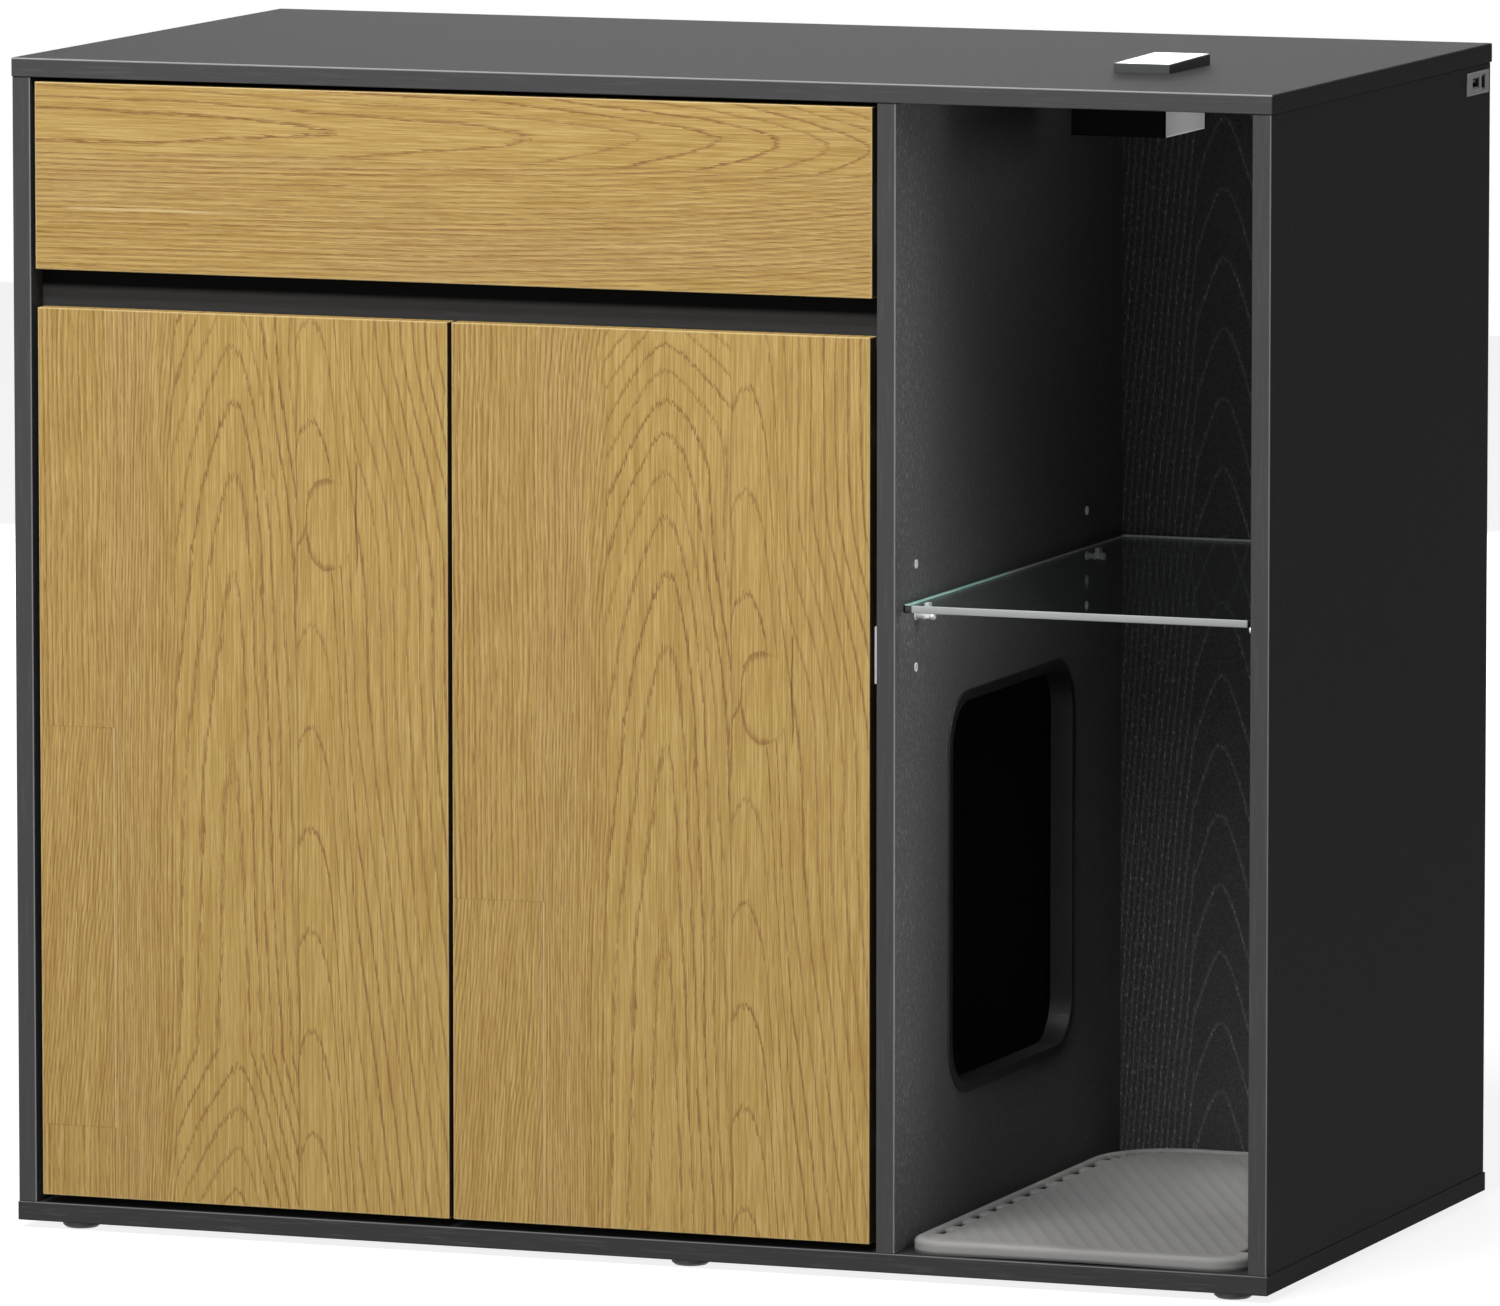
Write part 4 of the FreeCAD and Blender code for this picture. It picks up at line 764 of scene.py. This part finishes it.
def matMasks(item, low, high):
    # per point: 1 in a slot, where the colour is painted near-black as shade, and 1 on the pitted field inside the rim
    count = len(item.data.vertices)
    points = np.empty(count * 3)
    item.data.vertices.foreach_get("co", points)
    x, y, z = points.reshape(-1, 3).T
    onTop = z > (low.z + high.z) / 2 - 0.004
    inward = rimDistance(x, y, low, high, mat["frontRadius"], mat["rearRadius"])[0]
    pitted = smoothStep(inward, mat["slotEnd"], mat["fieldStart"])
    for label, values in (("slot", slotDepths(x, y, low, high)[0]), ("pitted", pitted)):
        layer = item.data.attributes.new(label, "FLOAT", "POINT")
        layer.data.foreach_set("value", (values * onTop).astype(np.float32))


def fromAttribute(tree, label):
    node = tree.nodes.new("ShaderNodeAttribute")
    node.attribute_name = label
    return Wire(tree, node.outputs["Fac"])


def litterMat():
    low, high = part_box("litter_mat")
    x, y = roundedGrid(low, high, mat["frontRadius"], mat["rearRadius"], mat["spacing"])
    inward = rimDistance(x, y, low, high, mat["frontRadius"], mat["rearRadius"])[0]
    inward = np.maximum(inward, 0)
    roll = mat["edgeRound"]
    rolled = np.minimum(inward, roll)
    top = high.z - roll + np.sqrt(np.maximum(0, roll ** 2 - (roll - rolled) ** 2))
    rim = 1 - smoothStep(inward, mat["rimWidth"], mat["rimWidth"] + 0.0022)
    top = top - mat["rimHeight"] * (1 - rim)
    wayX, wayY = mat["stripeWay"]
    stripe = 0.5 + 0.5 * np.cos(2 * np.pi * (x * wayX + y * wayY) / mat["stripePitch"])
    field = smoothStep(inward, mat["fieldStart"], mat["fieldFull"])
    top = top + mat["stripeHeight"] * stripe ** 3 * field
    slot, groove = slotDepths(x, y, low, high)
    top = top - mat["slotDepth"] * slot - 0.0006 * groove * (y > low.y + 0.03)
    span = np.clip((x - low.x) / (high.x - low.x), 0, 1)
    lift = mat["arch"] * np.sin(np.pi * span) ** 2 * (1 - smoothStep(y, low.y, low.y + 0.06))
    bottom = low.z + lift
    sheet = np.stack([x, y, top], -1)
    under = np.stack([x, y, bottom], -1)
    border = [(slice(0, 1), slice(None)), (slice(None), slice(-1, None)), (slice(-1, None), slice(None)),
              (slice(None), slice(0, 1))]
    grids = [(sheet, True), (under, False)]
    for rows, columns in border:
        upper = sheet[rows, columns].reshape(-1, 3)
        lower = under[rows, columns].reshape(-1, 3)
        grids.append((np.stack([upper, (upper + lower) / 2, lower]), False))
    item = meshFromGrids("litterMat", grids)
    closeSeams(item)
    matMasks(item, low, high)
    material, tree, shader, coords = newMaterial("matFoam", Specular_IOR_Level=0.2)
    slow = noise(tree, coords, (9, 9, 9), 3.0)
    fine = noise(tree, coords, (700, 700, 700), 2.0)
    pits = wire(tree, placed(tree, waffleGroup, Place=coords, Pitch=0.0035)["Dots"]) * fromAttribute(tree, "pitted")
    color = mixed(tree, slow * 0.5 + fine * 0.5, srgb(132, 131, 130), srgb(150, 149, 148))
    # painted shade: darker in the small pits
    color = mixed(tree, pits * 0.4, color, srgb(92, 91, 90))
    # painted shade: the slots near-black
    color = mixed(tree, ramp(fromAttribute(tree, "slot"), 0.1, 0.6), color, srgb(5, 5, 5))
    tree.links.new(color, shader.inputs["Base Color"])
    plug(tree, fine * 0.2 + 0.6, shader.inputs["Roughness"])
    bumped(tree, shader, fine * 0.3 - pits, 0.0004)
    item.data.materials.append(material)
    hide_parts("litter_mat")
    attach(item, "cabinet")
    return item


def waffleDots():
    # rows of small pits: the product of two sines along the diagonals
    tree, given, made = newGroup("wafflePits", [("Place", "vector"), ("Pitch", "float")], [("Dots", "float")])
    x, y, _ = split(tree, given["Place"])
    turn = 2 * math.pi
    first = ((x + y) / wire(tree, given["Pitch"]) * turn).op("SINE")
    second = ((x - y) / wire(tree, given["Pitch"]) * turn).op("SINE")
    plug(tree, ramp(first * second, 0.1, 0.8), made["Dots"])
    return tree


waffleGroup = waffleDots()
litterMat()
print("litter mat made")


# ---- the glass shelf ----

shelf = {
    "arris": 0.0009,                # ground chamfer along each edge
    "cornerSteps": 6, "cornerRadius": 0.003,
    "arrisSteps": 4,
    "green": srgb(170, 214, 204),
    "darkLeft": 0.0085, "darkRight": 0.003,     # dark ends of the front edge, painted shade where the shelf meets the boards
}


def roundedLoop(low, high, radius, steps, inset):
    # points once round a rounded rectangle, drawn in by inset
    points = []
    corners = ((high.x, high.y, 0.0), (low.x, high.y, 90.0), (low.x, low.y, 180.0), (high.x, low.y, 270.0))
    for cornerX, cornerY, start in corners:
        angle = np.radians(start + np.linspace(0, 90, steps + 1))
        centreX = cornerX - math.copysign(radius, cornerX - (low.x + high.x) / 2)
        centreY = cornerY - math.copysign(radius, cornerY - (low.y + high.y) / 2)
        reach = radius - inset
        points.append(np.stack([centreX + reach * np.cos(angle), centreY + reach * np.sin(angle)], -1))
    loop = np.concatenate(points)
    return np.concatenate([loop, loop[:1]])


def glassShelf():
    # a loop carried up through chamfer, flat edge and chamfer; each face closes to its middle point
    low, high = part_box("glass_shelf")
    chamfer = shelf["arris"]
    turn = np.linspace(0, np.pi / 2, shelf["arrisSteps"] + 1)
    heights = np.concatenate([low.z + chamfer * (1 - np.cos(turn)), high.z - chamfer * (1 - np.sin(turn))])
    insets = np.concatenate([chamfer * (1 - np.sin(turn)), chamfer * (1 - np.cos(turn))])
    rings = []
    for height, inset in zip(heights, insets):
        loop = roundedLoop(low, high, shelf["cornerRadius"], shelf["cornerSteps"], inset)
        rings.append(np.column_stack([loop, np.full(len(loop), height)]))
    side = np.stack(rings)
    middle = ((low + high) / 2).xy
    grids = [(side, True)]
    for ring, flip in ((rings[0], False), (rings[-1], True)):
        inner = ring.copy()
        inner[:, 0] = middle.x + (ring[:, 0] - middle.x) * 0.5
        inner[:, 1] = middle.y + (ring[:, 1] - middle.y) * 0.5
        point = ring.copy()
        point[:, 0] = middle.x
        point[:, 1] = middle.y
        grids.append((np.stack([ring, inner, point]), flip))
    item = meshFromGrids("glassShelf", grids)
    closeSeams(item)
    glass, tree, shader, coords = newMaterial("clearGlass", Transmission_Weight=1.0, IOR=1.05,
                                              Specular_IOR_Level=0.5)
    smear = noise(tree, coords, (6, 6, 6), 4.0)
    tree.links.new(mixed(tree, smear, (0.93, 0.97, 0.96, 1), (0.97, 0.99, 0.985, 1)), shader.inputs["Base Color"])
    plug(tree, ramp(smear, 0.45, 0.8) * 0.03, shader.inputs["Roughness"])
    bumped(tree, shader, smear, 0.00002)
    edge, tree, shader, coords = newMaterial("groundGlassEdge", Specular_IOR_Level=0.3)
    grind = noise(tree, coords, (60, 60, 2500), 2.0)
    cloud = noise(tree, coords, (12, 12, 12), 3.0)
    tint = mixed(tree, grind * 0.5 + cloud * 0.5, srgb(132, 136, 136), srgb(178, 180, 180))
    x, y, _ = split(tree, coords)
    leftFace = placed(tree, cornerLine, Place=coords, Point=tuple(low), Axes=(1.0, 0.0, 0.0), Width=0.002)["Mask"]
    tint = mixed(tree, wire(tree, leftFace) * ramp(y, 0.02, -0.06), tint, shelf["green"])
    # painted shade: the front edge turns near-black at both ends
    ends = (ramp(x, low.x + shelf["darkLeft"], low.x + shelf["darkLeft"] - 0.0015)
            + ramp(x, high.x - shelf["darkRight"], high.x - shelf["darkRight"] + 0.0015)) * ramp(y, -0.262, -0.265)
    tint = mixed(tree, ends, tint, srgb(8, 9, 9))
    tree.links.new(tint, shader.inputs["Base Color"])
    plug(tree, grind * 0.3 + 0.2, shader.inputs["Roughness"])
    bumped(tree, shader, grind, 0.00005)
    item.data.materials.append(glass)
    item.data.materials.append(edge)
    count = len(item.data.polygons)
    normals = np.empty(count * 3)
    item.data.polygons.foreach_get("normal", normals)
    upright = np.abs(normals.reshape(-1, 3)[:, 2]) > 0.98
    item.data.polygons.foreach_set("material_index", np.where(upright, 0, 1))
    item.data.update()
    item.data.set_sharp_from_angle(angle=math.radians(50))
    item.data.polygons.foreach_set("use_smooth", ~upright)      # the two large faces are dead flat
    item.visible_shadow = False               # clear glass lets the light through to the mat
    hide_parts("glass_shelf")
    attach(item, "cabinet")
    return item


glassShelf()
print("glass shelf made")


# ---- floor, light and camera ----

studio = {
    "floorSize": 14.0,
    "skyLevel": 0.06,
    # name, place, aim, size, level on a facing surface
    "softboxes": (
        ("keySoftbox", (-0.2, -2.5, 4.2), (0.0, -0.1, 0.5), (2.4, 1.6), 1.12),
        ("frontSoftbox", (-1.1, -4.9, 0.9), (0.0, -0.27, 0.5), (3.0, 1.4), 0.3),
        ("rearSoftbox", (-1.4, 4.6, 0.9), (0.0, 0.27, 0.5), (2.4, 1.4), 0.6),
    ),
    # narrow lamps in the niche: name, place, aim, size, power in watts
    "niche": (
        ("upperStrip", (0.3565, -0.264, 0.72), (0.2165, -0.308, 0.72), (0.03, 0.34), 0.18),
        ("lowerStrip", (0.3565, -0.264, 0.28), (0.2165, -0.308, 0.28), (0.03, 0.40), 0.21),
        ("moduleLamp", (0.5, -0.05, 0.893), (0.37, -0.05, 0.893), (0.03, 0.05), 0.1),
    ),
}


def floorSheet():
    half = studio["floorSize"] / 2
    steps = np.linspace(-half, half, 9)
    y, x = np.meshgrid(steps, steps, indexing="ij")
    floor = meshFromGrids("studioFloor", [(np.stack([x, y, x * 0], -1), True)])
    material = bpy.data.materials.new("studioFloor")
    material.use_nodes = True
    tree = material.node_tree
    tree.nodes.remove(tree.nodes["Principled BSDF"])
    bounce = tree.nodes.new("ShaderNodeBsdfDiffuse")
    bounce.inputs["Color"].default_value = (0.22, 0.22, 0.22, 1)
    faint = tree.nodes.new("ShaderNodeBsdfDiffuse")
    faint.inputs["Color"].default_value = (0.3, 0.3, 0.3, 1)
    glow = tree.nodes.new("ShaderNodeEmission")
    glow.inputs["Strength"].default_value = 0.85
    both = tree.nodes.new("ShaderNodeAddShader")
    tree.links.new(faint.outputs[0], both.inputs[0])
    tree.links.new(glow.outputs[0], both.inputs[1])
    pick = tree.nodes.new("ShaderNodeMixShader")
    plug(tree, seenRay(tree), pick.inputs[0])
    tree.links.new(bounce.outputs[0], pick.inputs[1])
    tree.links.new(both.outputs[0], pick.inputs[2])
    tree.links.new(pick.outputs[0], tree.nodes["Material Output"].inputs[0])
    floor.data.materials.append(material)


def seenRay(tree):
    # 1 for rays from the camera, from a mirror-like surface or through glass
    path = tree.nodes.new("ShaderNodeLightPath")
    seen = wire(tree, path.outputs["Is Camera Ray"])
    seen = seen.op("MAXIMUM", path.outputs["Is Glossy Ray"])
    return seen.op("MAXIMUM", path.outputs["Is Transmission Ray"])


def softbox(name, place, aim, size, level):
    # power = pi * pi * distance * distance lights a facing surface to level 1
    lamp = bpy.data.lights.new(name, "AREA")
    lamp.shape = "RECTANGLE"
    lamp.size, lamp.size_y = size
    way = np.array(aim) - np.array(place)
    lamp.energy = math.pi ** 2 * float(way @ way) * level
    item = bpy.data.objects.new(name, lamp)
    item.location = place
    item.rotation_euler = Vector(way).to_track_quat("-Z", "Y").to_euler()
    item.visible_camera = False
    bpy.context.scene.collection.objects.link(item)


def nicheLamp(name, place, aim, size, power):
    # a small lamp in the open niche: two upright ones at its mouth for the divider, one for the module
    lamp = bpy.data.lights.new(name, "AREA")
    lamp.shape = "RECTANGLE"
    lamp.size, lamp.size_y = size
    lamp.energy = power
    item = bpy.data.objects.new(name, lamp)
    item.location = place
    way = np.array(aim) - np.array(place)
    item.rotation_euler = Vector(way).to_track_quat("-Z", "Y").to_euler()
    item.visible_camera = False
    item.visible_glossy = False
    bpy.context.scene.collection.objects.link(item)


def sky():
    world = bpy.data.worlds.new("studioSky")
    world.use_nodes = True
    bpy.context.scene.world = world
    tree = world.node_tree
    level = seenRay(tree) * (1.0 - studio["skyLevel"]) + studio["skyLevel"]
    plug(tree, level, tree.nodes["Background"].inputs["Strength"])
    tree.nodes["Background"].inputs["Color"].default_value = (1, 1, 1, 1)


floorSheet()
for boxName, boxPlace, boxAim, boxSize, boxLevel in studio["softboxes"]:
    softbox(boxName, boxPlace, boxAim, boxSize, boxLevel)
for lampName, lampPlace, lampAim, lampSize, lampPower in studio["niche"]:
    nicheLamp(lampName, lampPlace, lampAim, lampSize, lampPower)
sky()

photo = {"width": 1500, "focalPixels": 13980.7, "place": (3.8674, -10.2786, 1.7798),
         "tiltDown": 6.915, "turn": 20.646, "sensor": 36.0}
eye = bpy.data.cameras.new("photoCamera")
eye.sensor_width = photo["sensor"]
eye.lens = photo["sensor"] * photo["focalPixels"] / photo["width"]
eye.clip_end = 200.0
camera = bpy.data.objects.new("photoCamera", eye)
camera.location = photo["place"]
camera.rotation_euler = (math.radians(90 - photo["tiltDown"]), 0, math.radians(photo["turn"]))
bpy.context.scene.collection.objects.link(camera)
bpy.context.scene.camera = camera
bpy.context.scene.view_settings.view_transform = "Standard"
print("studio ready")
